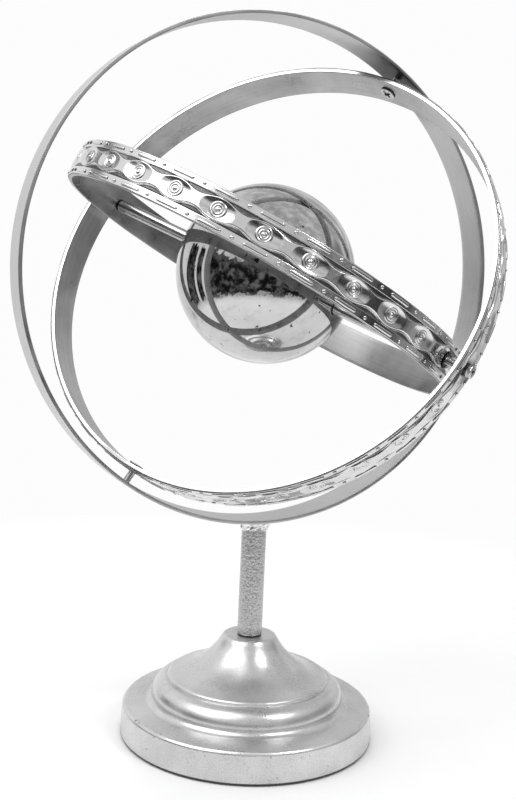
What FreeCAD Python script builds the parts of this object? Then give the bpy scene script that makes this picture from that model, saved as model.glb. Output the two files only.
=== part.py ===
import FreeCAD, Part
import os
import re

import Sketcher

# A gyroscope ornament for the classroom: a hollow ball on an axle inside three rings of flat bar.
# Each ring turns on two pivot screws held by the next ring out, and the outer ring is welded
# to a column on a round weighted base. The origin is on the floor under the middle, +Z is up.

# Driving dimensions: lengths in millimetres, angles in degrees, counts.
SIZES = [
    # Rings of flat bar.
    ("ring_height", 260),
    ("inner_ring_diameter", 233.4),
    ("inner_ring_gap", 9.6),
    ("middle_ring_gap", 7.2),
    ("band_width", 20),
    ("band_thickness", 2),
    # How the rings stand in their rest position.
    ("outer_pivot_angle", 55.9),
    ("middle_ring_angle", -55),
    ("inner_ring_angle", -82.6),
    # Embossed strip round the two moving rings.
    ("strip_thickness", 0.7),
    ("strip_margin", 0.1),
    ("middle_repeats", 34),
    ("inner_repeats", 31),
    ("middle_pattern_shift", 0.4),
    ("inner_pattern_shift", -3.1),
    ("eye_length", 17.4),
    ("eye_width", 12.5),
    ("eye_height", 0.5),
    ("rosette_width", 7.6),
    ("rosette_height", 0.35),
    # Pivot screws.
    ("screw_diameter", 4),
    ("running_gap", 0.05),
    ("end_play", 0.05),
    ("screw_recess", 0.1),
    ("strip_hole_gap", 0.4),
    ("seat_depth", 0.15),
    ("seat_gap", 0.4),
    ("outer_head_diameter", 8.4),
    ("outer_head_height", 1.1),
    ("outer_washer_diameter", 8.8),
    ("outer_washer_thickness", 0.3),
    ("inner_head_diameter", 7),
    ("inner_head_height", 2.9),
    ("inner_washer_diameter", 6.8),
    ("inner_washer_thickness", 1.6),
    ("head_crown", 0.7),
    ("cross_span_share", 0.56),
    ("cross_width", 1.2),
    ("cross_depth_share", 0.6),
    ("star_body_diameter", 6.8),
    ("star_tooth_length", 0.9),
    ("star_thickness", 0.6),
    ("star_teeth", 12),
    ("star_tooth_width", 1),
    # Axle and ball.
    ("axle_diameter", 7),
    ("thread_reach", 13),
    ("tap_gap", 3),
    ("ball_diameter", 98),
    ("ball_wall", 1),
    ("bush_wall", 0.85),
    ("bush_length", 9),
    ("neck_wall", 0.8),
    # Column.
    ("column_diameter", 14),
    ("column_wall", 1.5),
    ("column_overrun", 3),
    ("insert_lift", 0.2),
    ("insert_length", 12),
    ("weld_width", 2.7),
    ("weld_height", 3.4),
    ("weld_lip", 0.5),
    # Base cover, spun from sheet.
    ("base_diameter", 142.8),
    ("sheet_wall", 1.2),
    ("foot_lift", 0.6),
    ("rim_draft", 0.8),
    ("rim_height", 16.4),
    ("rim_edge", 1.3),
    ("shelf_width", 12.3),
    ("shelf_rise", 1.2),
    ("cove_width", 4.1),
    ("cove_rise", 2.6),
    ("cove_round", 5),
    ("bowl_width", 7.6),
    ("bowl_rise", 10.3),
    ("bowl_round", 9.5),
    ("bead_width", 1),
    ("bead_rise", 1.4),
    ("bell_inset", 1.2),
    ("bell_lift", 1),
    ("bell_rise", 20.3),
    ("bell_round", 42),
    ("neck_diameter", 32.6),
    ("seat_inset", 1.7),
    ("seat_rise", 2.5),
    # Cast weight, felt and the tie rod that holds column, cover and weight together.
    ("felt_gap", 2.4),
    ("felt_thickness", 2),
    ("weight_gap", 3.9),
    ("plate_thickness", 4),
    ("lip_width", 7),
    ("boss_wall", 4),
    ("boss_roof", 5),
    ("pocket_gap", 2),
    ("nut_recess", 0.9),
    ("rod_diameter", 8),
    ("rod_hole_gap", 0.25),
    ("rod_lift", 0.5),
    ("rod_top_gap", 2),
    ("nut_across_flats", 13),
    ("nut_height", 6.5),
    ("lock_washer_diameter", 14.8),
    ("lock_washer_thickness", 2),
    ("lock_washer_split", 1.2),
    ("rod_washer_diameter", 20),
    ("rod_washer_thickness", 1.6),
]
NAMES = {name for name, size in SIZES}
# Where the corners of an eye lie along its length.
EYE_SHARES = (0.3, 0, -0.3)
# The corners of the ball's sealed cavity, as shares of the half turn from pole to pole.
CAVITY_SHARES = (0.17, 0.33, 0.5, 0.67, 0.83)

# Radii and heights that several pieces share, each written once.
# Each ring is as far outside the next one in as the gap between them says.
INNER_RADIUS = "(inner_ring_diameter / 2)"
INNER_BORE = "(inner_ring_diameter / 2 - band_thickness)"
MIDDLE_BORE = "(inner_ring_diameter / 2 + inner_ring_gap)"
MIDDLE_RADIUS = "(inner_ring_diameter / 2 + inner_ring_gap + band_thickness)"
OUTER_BORE = "(%s + middle_ring_gap)" % MIDDLE_RADIUS
OUTER_RADIUS = "(%s + middle_ring_gap + band_thickness)" % MIDDLE_RADIUS
SCREW_RADIUS = "screw_diameter / 2"
RUNNING_RADIUS = "(screw_diameter / 2 + running_gap)"
STRIP_HOLE_RADIUS = "(screw_diameter / 2 + strip_hole_gap)"
# Flat seats pressed into the strips, measured from the rings' centre.
MIDDLE_SEAT = "(%s + strip_thickness - seat_depth)" % MIDDLE_RADIUS
INNER_SEAT = "(%s + strip_thickness - seat_depth)" % INNER_RADIUS
# The far sides of the pivot washers, where the screw heads bear.
OUTER_WASHER_FOOT = "(sqrt(%s^2 - (outer_washer_diameter / 2)^2) - end_play)" % MIDDLE_BORE
OUTER_HEAD_FOOT = "(%s - outer_washer_thickness)" % OUTER_WASHER_FOOT
INNER_WASHER_FOOT = "(%s + end_play)" % MIDDLE_SEAT
INNER_HEAD_FOOT = "(%s + inner_washer_thickness)" % INNER_WASHER_FOOT
# The axle's flat ends touch the hollow side of the inner ring at their edges.
AXLE_END = "sqrt(%s^2 - (axle_diameter / 2)^2)" % INNER_BORE
BUSH_BORE = "(axle_diameter / 2 + running_gap)"
BUSH_RADIUS = "(axle_diameter / 2 + running_gap + bush_wall)"
BALL_MOUTH = "sqrt((ball_diameter / 2)^2 - %s^2)" % BUSH_RADIUS
# The cover's corners, each reached from the one before: radii inwards from the foot, levels upwards.
BASE_RADIUS = "(base_diameter / 2)"
RIM_RADIUS = "(base_diameter / 2 - rim_draft)"
SHELF_RADIUS = "(%s - shelf_width)" % RIM_RADIUS
COVE_RADIUS = "(%s - cove_width)" % SHELF_RADIUS
BOWL_RADIUS = "(%s - bowl_width)" % COVE_RADIUS
BEAD_RADIUS = "(%s - bead_width)" % BOWL_RADIUS
BELL_RADIUS = "(%s - bell_inset)" % BEAD_RADIUS
NECK_RADIUS = "(neck_diameter / 2)"
SEAT_RIM = "(neck_diameter / 2 - seat_inset)"
RIM_TOP = "(rim_height + rim_edge)"
SHELF_TOP = "(rim_height + rim_edge + shelf_rise)"
COVE_TOP = "(%s + cove_rise)" % SHELF_TOP
BOWL_TOP = "(%s + bowl_rise)" % COVE_TOP
BEAD_TOP = "(%s + bead_rise)" % BOWL_TOP
BELL_FOOT = "(%s + bell_lift)" % BEAD_TOP
NECK_TOP = "(%s + bell_rise)" % BELL_FOOT
BASE_TOP = "(%s + seat_rise)" % NECK_TOP
# The stack in the weight's pocket, measured from the floor.
NUT_FOOT = "(felt_thickness + nut_recess)"
NUT_TOP = "(%s + nut_height)" % NUT_FOOT
LOCK_WASHER_TOP = "(%s + lock_washer_thickness)" % NUT_TOP
POCKET_CEILING = "(%s + rod_washer_thickness)" % LOCK_WASHER_TOP

doc = FreeCAD.newDocument("Gyroscope")
sheet = doc.addObject("Spreadsheet::Sheet", "Sizes")
for row, (name, size) in enumerate(SIZES, start=1):
    sheet.set("A%d" % row, name)
    sheet.set("B%d" % row, str(size))
    sheet.setAlias("B%d" % row, name)
doc.recompute()

pieces = []


def bound(text):
    """The expression text with each named size read from the sheet."""
    return re.sub(r"[a-z_]+", lambda word: "Sizes." + word[0] if word[0] in NAMES else word[0], text)


def value(text):
    """The number that an expression of named sizes gives now."""
    found = sheet.evalExpression(text)
    return float(getattr(found, "Value", found))


def bind(thing, prop, text):
    """Tie a property to an expression of named sizes."""
    thing.setExpression(prop, bound(text))


def new_body(label):
    """An empty body that becomes one piece of the object."""
    body = doc.addObject("PartDesign::Body", label)
    body.Label = label
    pieces.append(body)
    return body


def new_sketch(body, role, name):
    """A sketch on one of the body's own origin planes."""
    sketch = body.newObject("Sketcher::SketchObject", body.Label + "_" + name)
    plane = [item for item in body.Origin.OriginFeatures if item.Role == role][0]
    sketch.AttachmentSupport = [(plane, "")]
    sketch.MapMode = "FlatFace"
    return sketch


def lift_sketch(sketch, distance, turn="0"):
    """Move a sketch out along its normal, after turning it about its own vertical line."""
    across = "%s * sin(%s)" % (distance, turn)
    along = "%s * cos(%s)" % (distance, turn)
    turned = FreeCAD.Rotation(FreeCAD.Vector(0, 1, 0), value(turn))
    sketch.AttachmentOffset = FreeCAD.Placement(FreeCAD.Vector(value(across), 0, value(along)), turned)
    bind(sketch, "AttachmentOffset.Base.x", across)
    bind(sketch, "AttachmentOffset.Base.z", along)
    if turn != "0":
        bind(sketch, "AttachmentOffset.Rotation.Angle", turn)


def constrain(sketch, constraint, text):
    """Add a dimension to a sketch and tie it to named sizes."""
    index = sketch.addConstraint(constraint)
    if text != "0":
        bind(sketch, "Constraints[%d]" % index, text)


def fix_point(sketch, geometry, end, place):
    """Hold one point of a sketch at a pair of expressions, measured from the origin."""
    for kind, text in zip(("DistanceX", "DistanceY"), place):
        constrain(sketch, Sketcher.Constraint(kind, -1, 1, geometry, end, value(text)), text)


def draw_circle(sketch, radius):
    """A circle about the sketch's origin."""
    circle = Part.Circle(FreeCAD.Vector(0, 0, 0), FreeCAD.Vector(0, 0, 1), value(radius))
    index = sketch.addGeometry(circle)
    sketch.addConstraint(Sketcher.Constraint("Coincident", index, 3, -1, 1))
    constrain(sketch, Sketcher.Constraint("Radius", index, value(radius)), radius)


def arc_between(start, end, radius):
    """The arc from start to end that bulges right of the way, or left if the radius is negative."""
    half = (end - start) / 2
    side = FreeCAD.Vector(half.y, -half.x, 0).normalize()
    reach = (radius ** 2 - half.Length ** 2) ** 0.5
    turn = 1 if radius > 0 else -1
    centre = start + half - side * turn * reach
    circle = Part.Circle(centre, FreeCAD.Vector(0, 0, 1), abs(radius))
    first, last = (start, end) if turn > 0 else (end, start)
    return Part.ArcOfCircle(circle, circle.parameter(first), circle.parameter(last))


def draw_outline(sketch, places, rounds=None):
    """A closed outline through the places.

    rounds gives, for the place where a round edge starts, its radius and the side that it bulges to:
    1 for the right of the way along the outline, -1 for the left.
    """
    rounds = rounds or {}
    points = [FreeCAD.Vector(value(x), value(y), 0) for x, y in places]
    first_ends = []
    for index, start in enumerate(points):
        end = points[(index + 1) % len(points)]
        if index in rounds:
            radius, side = rounds[index]
            sketch.addGeometry(arc_between(start, end, side * value(radius)))
            first_ends.append(1 if side > 0 else 2)
        else:
            sketch.addGeometry(Part.LineSegment(start, end))
            first_ends.append(1)
    for index, place in enumerate(places):
        before = index - 1 if index else len(places) - 1
        meeting = (before, 3 - first_ends[before], index, first_ends[index])
        sketch.addConstraint(Sketcher.Constraint("Coincident", *meeting))
        fix_point(sketch, index, first_ends[index], place)
    for index, (radius, side) in rounds.items():
        constrain(sketch, Sketcher.Constraint("Radius", index, value(radius)), radius)


def pad(body, sketch, name, length, centred=False):
    """Raise a sketch into a solid of the given length."""
    feature = body.newObject("PartDesign::Pad", body.Label + "_" + name)
    feature.Profile = sketch
    feature.Midplane = centred
    bind(feature, "Length", length)
    body.Tip = feature
    doc.recompute()
    return feature


def cut(body, sketch, name, length=None, backwards=False):
    """Cut a sketch out of the solid: to a length, or right through both ways where none is given."""
    before = body.Shape.Volume
    feature = body.newObject("PartDesign::Pocket", body.Label + "_" + name)
    feature.Profile = sketch
    feature.Reversed = backwards
    if length:
        bind(feature, "Length", length)
    else:
        feature.Type = "ThroughAll"
        feature.Midplane = True
    body.Tip = feature
    doc.recompute()
    if not body.Shape.Volume < before:
        raise ValueError("%s cuts nothing" % feature.Name)
    return feature


def revolve(body, sketch, name):
    """Turn an outline about the vertical line through the body's origin."""
    feature = body.newObject("PartDesign::Revolution", body.Label + "_" + name)
    feature.Profile = sketch
    feature.ReferenceAxis = (sketch, ["V_Axis"])
    feature.Angle = 360
    body.Tip = feature
    doc.recompute()
    return feature


def repeat_round(body, features, name, count, axis="Z_Axis"):
    """Repeat features evenly about one of the body's own axes."""
    pattern = body.newObject("PartDesign::PolarPattern", body.Label + "_" + name)
    pattern.Originals = features
    line = [item for item in body.Origin.OriginFeatures if item.Role == axis][0]
    pattern.Axis = (line, [""])
    pattern.Angle = 360
    bind(pattern, "Occurrences", count)
    body.Tip = pattern
    doc.recompute()
    return pattern


def turned_piece(label, places, rounds=None):
    """A piece turned on a lathe: its outline as pairs of radius and height."""
    body = new_body(label)
    sketch = new_sketch(body, "XZ_Plane", "outline")
    draw_outline(sketch, places, rounds)
    revolve(body, sketch, "turning")
    return body


def tube(label, radius, bore, foot, length):
    """A straight tube or washer on the vertical axis, from foot upwards."""
    body = new_body(label)
    sketch = new_sketch(body, "XY_Plane", "section")
    draw_circle(sketch, radius)
    draw_circle(sketch, bore)
    lift_sketch(sketch, foot)
    pad(body, sketch, "length", length)
    return body


def bore_across(body, role, name, radius):
    """Drill right through along the normal of one of the body's planes."""
    sketch = new_sketch(body, role, name)
    draw_circle(sketch, radius)
    cut(body, sketch, name + "_cut")


def flatten_seat(body, role, name, radius, level, side):
    """Press the relief flat round a pivot hole, from a level measured from the centre outwards."""
    sketch = new_sketch(body, role, name)
    draw_circle(sketch, radius)
    lift_sketch(sketch, "%s * %s" % (side, level))
    relief = "eye_height + rosette_height + strip_thickness"
    cut(body, sketch, name + "_cut", relief, backwards=side == "1")


def flat_bar_ring(label, radius, bore):
    """A band of flat bar rolled into a ring about its own Z axis."""
    body = new_body(label)
    sketch = new_sketch(body, "XY_Plane", "section")
    draw_circle(sketch, radius)
    draw_circle(sketch, bore)
    pad(body, sketch, "width", "band_width", centred=True)
    return body


def eye_outline():
    """An eye as its stamp leaves it: flats whose corners lie on two arcs, between pointed ends."""
    arc_radius = "((eye_length / 2)^2 + (eye_width / 2)^2) / eye_width"
    upper = []
    for share in EYE_SHARES:
        across = "eye_length * %s" % share
        rise = "(eye_width / 2 - %s + sqrt((%s)^2 - (%s)^2))" % (arc_radius, arc_radius, across)
        upper.append((across, rise))
    lower = [(across, "-" + rise) for across, rise in reversed(upper)]
    return [("eye_length / 2", "0")] + upper + [("-eye_length / 2", "0")] + lower


def embossed_strip(label, ring_radius, repeats, shift):
    """A strip of stamped sheet round a ring: a row of eyes with a raised rosette on each."""
    body = new_body(label)
    section = new_sketch(body, "XY_Plane", "section")
    draw_circle(section, ring_radius + " + strip_thickness")
    draw_circle(section, ring_radius)
    pad(body, section, "width", "band_width - 2 * strip_margin", centred=True)

    # The relief starts inside the strip, deep enough to stay joined to it at the ends of an eye.
    root = "(%s + strip_thickness / 2)" % ring_radius
    eye = new_sketch(body, "YZ_Plane", "eye")
    lift_sketch(eye, root, shift)
    draw_outline(eye, eye_outline())
    eye_pad = pad(body, eye, "eye_pad", "strip_thickness / 2 + eye_height")

    rosette = new_sketch(body, "YZ_Plane", "rosette")
    lift_sketch(rosette, root, shift)
    octagon = []
    for corner in range(8):
        turn = "%d * 45 + 22.5" % corner
        corner_radius = "rosette_width / 2 / cos(22.5)"
        octagon.append(("%s * cos(%s)" % (corner_radius, turn), "%s * sin(%s)" % (corner_radius, turn)))
    draw_outline(rosette, octagon)
    rosette_pad = pad(body, rosette, "rosette_pad", "strip_thickness / 2 + eye_height + rosette_height")
    relief = [eye_pad, rosette_pad]
    repeat_round(body, relief, "repeats", repeats)
    return body


def pan_screw(label, head_radius, head_height, foot, tip, direction):
    """A cross-head screw on its own Z axis. direction is +1 where the head is above its foot level."""
    sign = "%d" % direction
    top = "(%s + %s * %s)" % (foot, sign, head_height)
    edge = "(%s + %s * (%s - head_crown))" % (foot, sign, head_height)
    crown = "(%s - head_crown)" % head_radius
    places = [("0", top), (crown, top), (head_radius, edge), (head_radius, foot)]
    places += [(SCREW_RADIUS, foot), (SCREW_RADIUS, tip), ("0", tip)]
    body = turned_piece(label, places)
    cross = new_sketch(body, "XY_Plane", "cross")
    reach = "%s * cross_span_share" % head_radius
    near = "cross_width / 2"
    quarter = [(reach, "-" + near), (reach, near), (near, near), (near, reach), ("-" + near, reach)]
    quarter += [("-" + near, near), ("-" + reach, near), ("-" + reach, "-" + near), ("-" + near, "-" + near)]
    quarter += [("-" + near, "-" + reach), (near, "-" + reach), (near, "-" + near)]
    lift_sketch(cross, top)
    draw_outline(cross, quarter)
    depth = "%s * cross_depth_share" % head_height
    cut(body, cross, "recess", depth, backwards=direction < 0)
    return body


def cope(body):
    """Cut the body to the round of the outer ring that it meets."""
    sketch = new_sketch(body, "XZ_Plane", "cope")
    middle = FreeCAD.Vector(0, value("ring_height"), 0)
    index = sketch.addGeometry(Part.Circle(middle, FreeCAD.Vector(0, 0, 1), value(OUTER_RADIUS)))
    fix_point(sketch, index, 3, ("0", "ring_height"))
    constrain(sketch, Sketcher.Constraint("Radius", index, value(OUTER_RADIUS)), OUTER_RADIUS)
    cut(body, sketch, "cope_cut")


# Where each ring stands: Z along the ring's own axis, X along the pivots that carry it.
centre = FreeCAD.Vector(0, 0, value("ring_height"))
lay_flat = FreeCAD.Rotation(FreeCAD.Vector(1, 0, 0), 90)
raise_pivot = FreeCAD.Rotation(FreeCAD.Vector(0, 0, 1), value("outer_pivot_angle"))
turn_middle = FreeCAD.Rotation(FreeCAD.Vector(1, 0, 0), value("middle_ring_angle"))
next_pivot = FreeCAD.Rotation(FreeCAD.Vector(0, 0, 1), -90)
turn_inner = FreeCAD.Rotation(FreeCAD.Vector(1, 0, 0), value("inner_ring_angle"))
outer_frame = lay_flat.multiply(raise_pivot)
middle_frame = outer_frame.multiply(turn_middle)
inner_frame = middle_frame.multiply(next_pivot).multiply(turn_inner)
# A screw or bush lies along its ring's X axis, either way.
z_to_x = FreeCAD.Rotation(FreeCAD.Vector(0, 0, 1), FreeCAD.Vector(1, 0, 0))
z_to_minus_x = FreeCAD.Rotation(FreeCAD.Vector(0, 0, 1), FreeCAD.Vector(-1, 0, 0))


def stand(body, rotation):
    """Put a piece at the rings' centre, turned into its ring's position."""
    body.Placement = FreeCAD.Placement(centre, rotation)


# Outer ring: tapped for the two pivot screws that carry the middle ring.
outer_ring = flat_bar_ring("outer_ring", OUTER_RADIUS, OUTER_BORE)
bore_across(outer_ring, "YZ_Plane", "tapped_holes", SCREW_RADIUS)
stand(outer_ring, outer_frame)

# Middle ring: one pair of running holes for the outer pivots, one for the inner pivots.
middle_band = flat_bar_ring("middle_band", MIDDLE_RADIUS, MIDDLE_BORE)
bore_across(middle_band, "YZ_Plane", "outer_pivot_holes", RUNNING_RADIUS)
bore_across(middle_band, "XZ_Plane", "inner_pivot_holes", RUNNING_RADIUS)
stand(middle_band, middle_frame)

middle_shift = "90 + middle_pattern_shift"
middle_strip = embossed_strip("middle_strip", MIDDLE_RADIUS, "middle_repeats", middle_shift)
bore_across(middle_strip, "YZ_Plane", "outer_pivot_holes", STRIP_HOLE_RADIUS)
bore_across(middle_strip, "XZ_Plane", "inner_pivot_holes", STRIP_HOLE_RADIUS)
SEAT_RADIUS = "(inner_washer_diameter / 2 + seat_gap)"
flatten_seat(middle_strip, "XZ_Plane", "near_seat", SEAT_RADIUS, MIDDLE_SEAT, "1")
flatten_seat(middle_strip, "XZ_Plane", "far_seat", SEAT_RADIUS, MIDDLE_SEAT, "-1")
stand(middle_strip, middle_frame)

# Inner ring: clamped between the axle's ends and the star washers.
inner_band = flat_bar_ring("inner_band", INNER_RADIUS, INNER_BORE)
bore_across(inner_band, "YZ_Plane", "axle_screw_holes", RUNNING_RADIUS)
stand(inner_band, inner_frame)

inner_strip = embossed_strip("inner_strip", INNER_RADIUS, "inner_repeats", "inner_pattern_shift")
bore_across(inner_strip, "YZ_Plane", "axle_screw_holes", STRIP_HOLE_RADIUS)
STAR_RADIUS = "(star_body_diameter / 2 + star_tooth_length)"
STAR_SEAT_RADIUS = "(%s + seat_gap)" % STAR_RADIUS
flatten_seat(inner_strip, "YZ_Plane", "right_seat", STAR_SEAT_RADIUS, INNER_SEAT, "1")
flatten_seat(inner_strip, "YZ_Plane", "left_seat", STAR_SEAT_RADIUS, INNER_SEAT, "-1")
stand(inner_strip, inner_frame)

# Axle: a round bar tapped at both ends.
axle_bottom = "(%s - thread_reach - tap_gap)" % AXLE_END
axle_radius = "axle_diameter / 2"
axle_outline = [("0", axle_bottom), (SCREW_RADIUS, axle_bottom)]
axle_outline += [(SCREW_RADIUS, AXLE_END), (axle_radius, AXLE_END)]
axle_outline += [(place[0], "-" + place[1]) for place in reversed(axle_outline)]
axle = turned_piece("axle", axle_outline)
stand(axle, inner_frame.multiply(z_to_x))

# Ball: a hollow shell with a short neck drawn inwards round each end of the axle.
neck_radius = "(%s + neck_wall)" % BUSH_RADIUS
neck_foot = "(%s - bush_length)" % BALL_MOUTH
cavity_radius = "(ball_diameter / 2 - ball_wall)"
inner_mouth = "sqrt(%s^2 - %s^2)" % (cavity_radius, neck_radius)
cavity = []
for share in CAVITY_SHARES:
    turn = "180 * %s" % share
    cavity.append(("%s * sin(%s)" % (cavity_radius, turn), "%s * cos(%s)" % (cavity_radius, turn)))
ball_outline = [(BUSH_RADIUS, BALL_MOUTH), (BUSH_RADIUS, neck_foot), (neck_radius, neck_foot)]
ball_outline += [(neck_radius, inner_mouth)] + cavity + [(neck_radius, "-" + inner_mouth)]
ball_outline += [(neck_radius, "-" + neck_foot), (BUSH_RADIUS, "-" + neck_foot)]
ball_outline += [(BUSH_RADIUS, "-" + BALL_MOUTH)]
ball_rounds = {len(ball_outline) - 1: ("ball_diameter / 2", 1)}
ball_shell = turned_piece("ball_shell", ball_outline, ball_rounds)
stand(ball_shell, inner_frame.multiply(z_to_x))

for name, direction in (("right", z_to_x), ("left", z_to_minus_x)):
    along = inner_frame.multiply(direction)
    bush = tube("ball_bush_" + name, BUSH_RADIUS, BUSH_BORE, neck_foot, "bush_length")
    stand(bush, along)

    # Star washer that grips the screw against the inner ring.
    star = new_body("star_washer_" + name)
    disc = new_sketch(star, "XY_Plane", "disc")
    draw_circle(disc, "star_body_diameter / 2")
    draw_circle(disc, SCREW_RADIUS)
    lift_sketch(disc, INNER_SEAT)
    pad(star, disc, "thickness", "star_thickness")
    tooth = new_sketch(star, "XY_Plane", "tooth")
    tooth_foot = "(star_body_diameter / 2 - star_thickness)"
    tooth_half = "star_tooth_width / 2"
    tooth_tip = (STAR_RADIUS, "0")
    draw_outline(tooth, [(tooth_foot, "-" + tooth_half), tooth_tip, (tooth_foot, tooth_half)])
    lift_sketch(tooth, INNER_SEAT)
    tooth_pad = pad(star, tooth, "tooth_pad", "star_thickness")
    repeat_round(star, [tooth_pad], "teeth", "star_teeth")
    stand(star, along)

    washer = tube(
        "inner_pivot_washer_" + name,
        "inner_washer_diameter / 2",
        SCREW_RADIUS,
        INNER_WASHER_FOOT,
        "inner_washer_thickness",
    )
    stand(washer, along)
    tip = "(%s - thread_reach)" % AXLE_END
    label = "inner_pivot_screw_" + name
    screw = pan_screw(label, "inner_head_diameter / 2", "inner_head_height", INNER_HEAD_FOOT, tip, 1)
    stand(screw, along)

for name, direction in (("upper", z_to_x), ("lower", z_to_minus_x)):
    along = outer_frame.multiply(direction)
    washer = tube(
        "outer_pivot_washer_" + name,
        "outer_washer_diameter / 2",
        SCREW_RADIUS,
        OUTER_HEAD_FOOT,
        "outer_washer_thickness",
    )
    stand(washer, along)
    tip = "(%s - screw_recess)" % OUTER_RADIUS
    label = "outer_pivot_screw_" + name
    screw = pan_screw(label, "outer_head_diameter / 2", "outer_head_height", OUTER_HEAD_FOOT, tip, -1)
    stand(screw, along)

# Column: a tube coped to the outer ring, a threaded plug pressed into its foot, and the weld on top.
column_bore = "(column_diameter / 2 - column_wall)"
column_length = "ring_height - %s + column_overrun - %s" % (OUTER_RADIUS, BASE_TOP)
column = tube("column", "column_diameter / 2", column_bore, BASE_TOP, column_length)
cope(column)

insert_foot = "(%s + insert_lift)" % BASE_TOP
tube("column_insert", column_bore, "rod_diameter / 2", insert_foot, "insert_length")

weld_foot = "(ring_height - %s - weld_height)" % OUTER_RADIUS
weld_side = "(ring_height - %s - weld_lip)" % OUTER_RADIUS
weld_top = "(ring_height - %s + column_overrun)" % OUTER_RADIUS
weld_radius = "(column_diameter / 2 + weld_width)"
weld_outline = [
    ("column_diameter / 2", weld_foot),
    (weld_radius, weld_side),
    (weld_radius, weld_top),
    ("column_diameter / 2", weld_top),
]
column_weld = turned_piece("column_weld", weld_outline)
cope(column_weld)

# Base cover: foot, rim, step, cove, bowl, bead, bell and neck, with the inside one sheet thickness in.
rod_hole = "(rod_diameter / 2 + rod_hole_gap)"
cover_outline = [
    (BASE_RADIUS, "foot_lift"),
    (RIM_RADIUS, "rim_height"),
    (RIM_RADIUS + " - rim_edge", RIM_TOP),
    (SHELF_RADIUS, SHELF_TOP),
    (COVE_RADIUS, COVE_TOP),
    (BOWL_RADIUS, BOWL_TOP),
    (BEAD_RADIUS, BOWL_TOP),
    (BEAD_RADIUS, BEAD_TOP),
    (BELL_RADIUS, BELL_FOOT),
    (NECK_RADIUS, NECK_TOP),
    (SEAT_RIM, BASE_TOP),
    (rod_hole, BASE_TOP),
    (rod_hole, BASE_TOP + " - sheet_wall"),
    (SEAT_RIM + " - sheet_wall", BASE_TOP + " - sheet_wall"),
    (NECK_RADIUS + " - sheet_wall", NECK_TOP + " - sheet_wall / 2"),
    (BELL_RADIUS + " - sheet_wall", BELL_FOOT + " - sheet_wall"),
    (BEAD_RADIUS + " - sheet_wall", BOWL_TOP + " - sheet_wall"),
    (COVE_RADIUS + " - sheet_wall", COVE_TOP),
    (SHELF_RADIUS + " - sheet_wall", SHELF_TOP + " - sheet_wall"),
    (RIM_RADIUS + " - sheet_wall", RIM_TOP + " - sheet_wall"),
    (BASE_RADIUS + " - sheet_wall", "foot_lift"),
]
cover_rounds = {
    3: ("cove_round", -1),
    4: ("bowl_round", 1),
    8: ("bell_round", -1),
    14: ("bell_round + sheet_wall", 1),
    16: ("bowl_round - sheet_wall", -1),
}
turned_piece("base_cover", cover_outline, cover_rounds)

# Cast weight: a dish whose lip carries the cover's rim, with a boss bored for the tie rod.
weight_foot = "felt_thickness"
plate_top = "(felt_thickness + plate_thickness)"
lip_top = "(%s - sheet_wall)" % RIM_TOP
weight_radius = "(%s - weight_gap)" % BASE_RADIUS
lip_bore = "(%s - lip_width)" % weight_radius
pocket_radius = "(rod_washer_diameter / 2 + pocket_gap)"
boss_radius = "(%s + boss_wall)" % pocket_radius
boss_top = "(%s + boss_roof)" % POCKET_CEILING
weight_outline = [
    (pocket_radius, weight_foot),
    (weight_radius, weight_foot),
    (weight_radius, lip_top),
    (lip_bore, lip_top),
    (lip_bore, plate_top),
    (boss_radius, plate_top),
    (boss_radius, boss_top),
    (rod_hole, boss_top),
    (rod_hole, POCKET_CEILING),
    (pocket_radius, POCKET_CEILING),
]
turned_piece("base_weight", weight_outline)

felt = doc.addObject("Part::Cylinder", "base_felt")
bind(felt, "Radius", "%s - felt_gap" % BASE_RADIUS)
bind(felt, "Height", "felt_thickness")
pieces.append(felt)

# Tie rod with its nut, spring washer and flat washer, up inside the weight's pocket.
rod_foot = "(felt_thickness + rod_lift)"
rod = doc.addObject("Part::Cylinder", "tie_rod")
bind(rod, "Radius", "rod_diameter / 2")
bind(rod, "Height", "%s + insert_length - rod_top_gap - %s" % (insert_foot, rod_foot))
bind(rod, "Placement.Base.z", rod_foot)
pieces.append(rod)

nut_hex = doc.addObject("Part::Prism", "nut_hex")
nut_hex.Polygon = 6
bind(nut_hex, "Circumradius", "nut_across_flats / sqrt(3)")
bind(nut_hex, "Height", "nut_height")
nut_bore = doc.addObject("Part::Cylinder", "nut_bore")
bind(nut_bore, "Radius", "rod_diameter / 2")
bind(nut_bore, "Height", "nut_height")
nut = doc.addObject("Part::Cut", "rod_nut")
nut.Base = nut_hex
nut.Tool = nut_bore
bind(nut, "Placement.Base.z", NUT_FOOT)
pieces.append(nut)

lock_ring = tube("rod_lock_washer", "lock_washer_diameter / 2", rod_hole, NUT_TOP, "lock_washer_thickness")
split = new_sketch(lock_ring, "XY_Plane", "split")
split_half = "lock_washer_split / 2"
split_far = "lock_washer_diameter"
lift_sketch(split, NUT_TOP)
split_outline = [("0", "-" + split_half), (split_far, "-" + split_half)]
split_outline += [(split_far, split_half), ("0", split_half)]
draw_outline(split, split_outline)
cut(lock_ring, split, "split_cut")

tube("rod_washer", "rod_washer_diameter / 2", rod_hole, LOCK_WASHER_TOP, "rod_washer_thickness")

doc.recompute()
for item in doc.Objects:
    faults = {"Invalid", "Error"} & set(item.State)
    if faults:
        raise ValueError("%s is %s" % (item.Name, ", ".join(sorted(faults))))
for piece in pieces:
    if piece.Shape.isNull() or not piece.Shape.isValid() or not piece.Shape.Solids:
        raise ValueError("%s has no valid solid" % piece.Label)
    print("%-28s %d solid, %10.1f mm3" % (piece.Label, len(piece.Shape.Solids), piece.Shape.Volume))

os.makedirs("parts", exist_ok=True)
for piece in pieces:
    piece.Shape.exportStep("parts/%s.step" % piece.Label)
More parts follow.
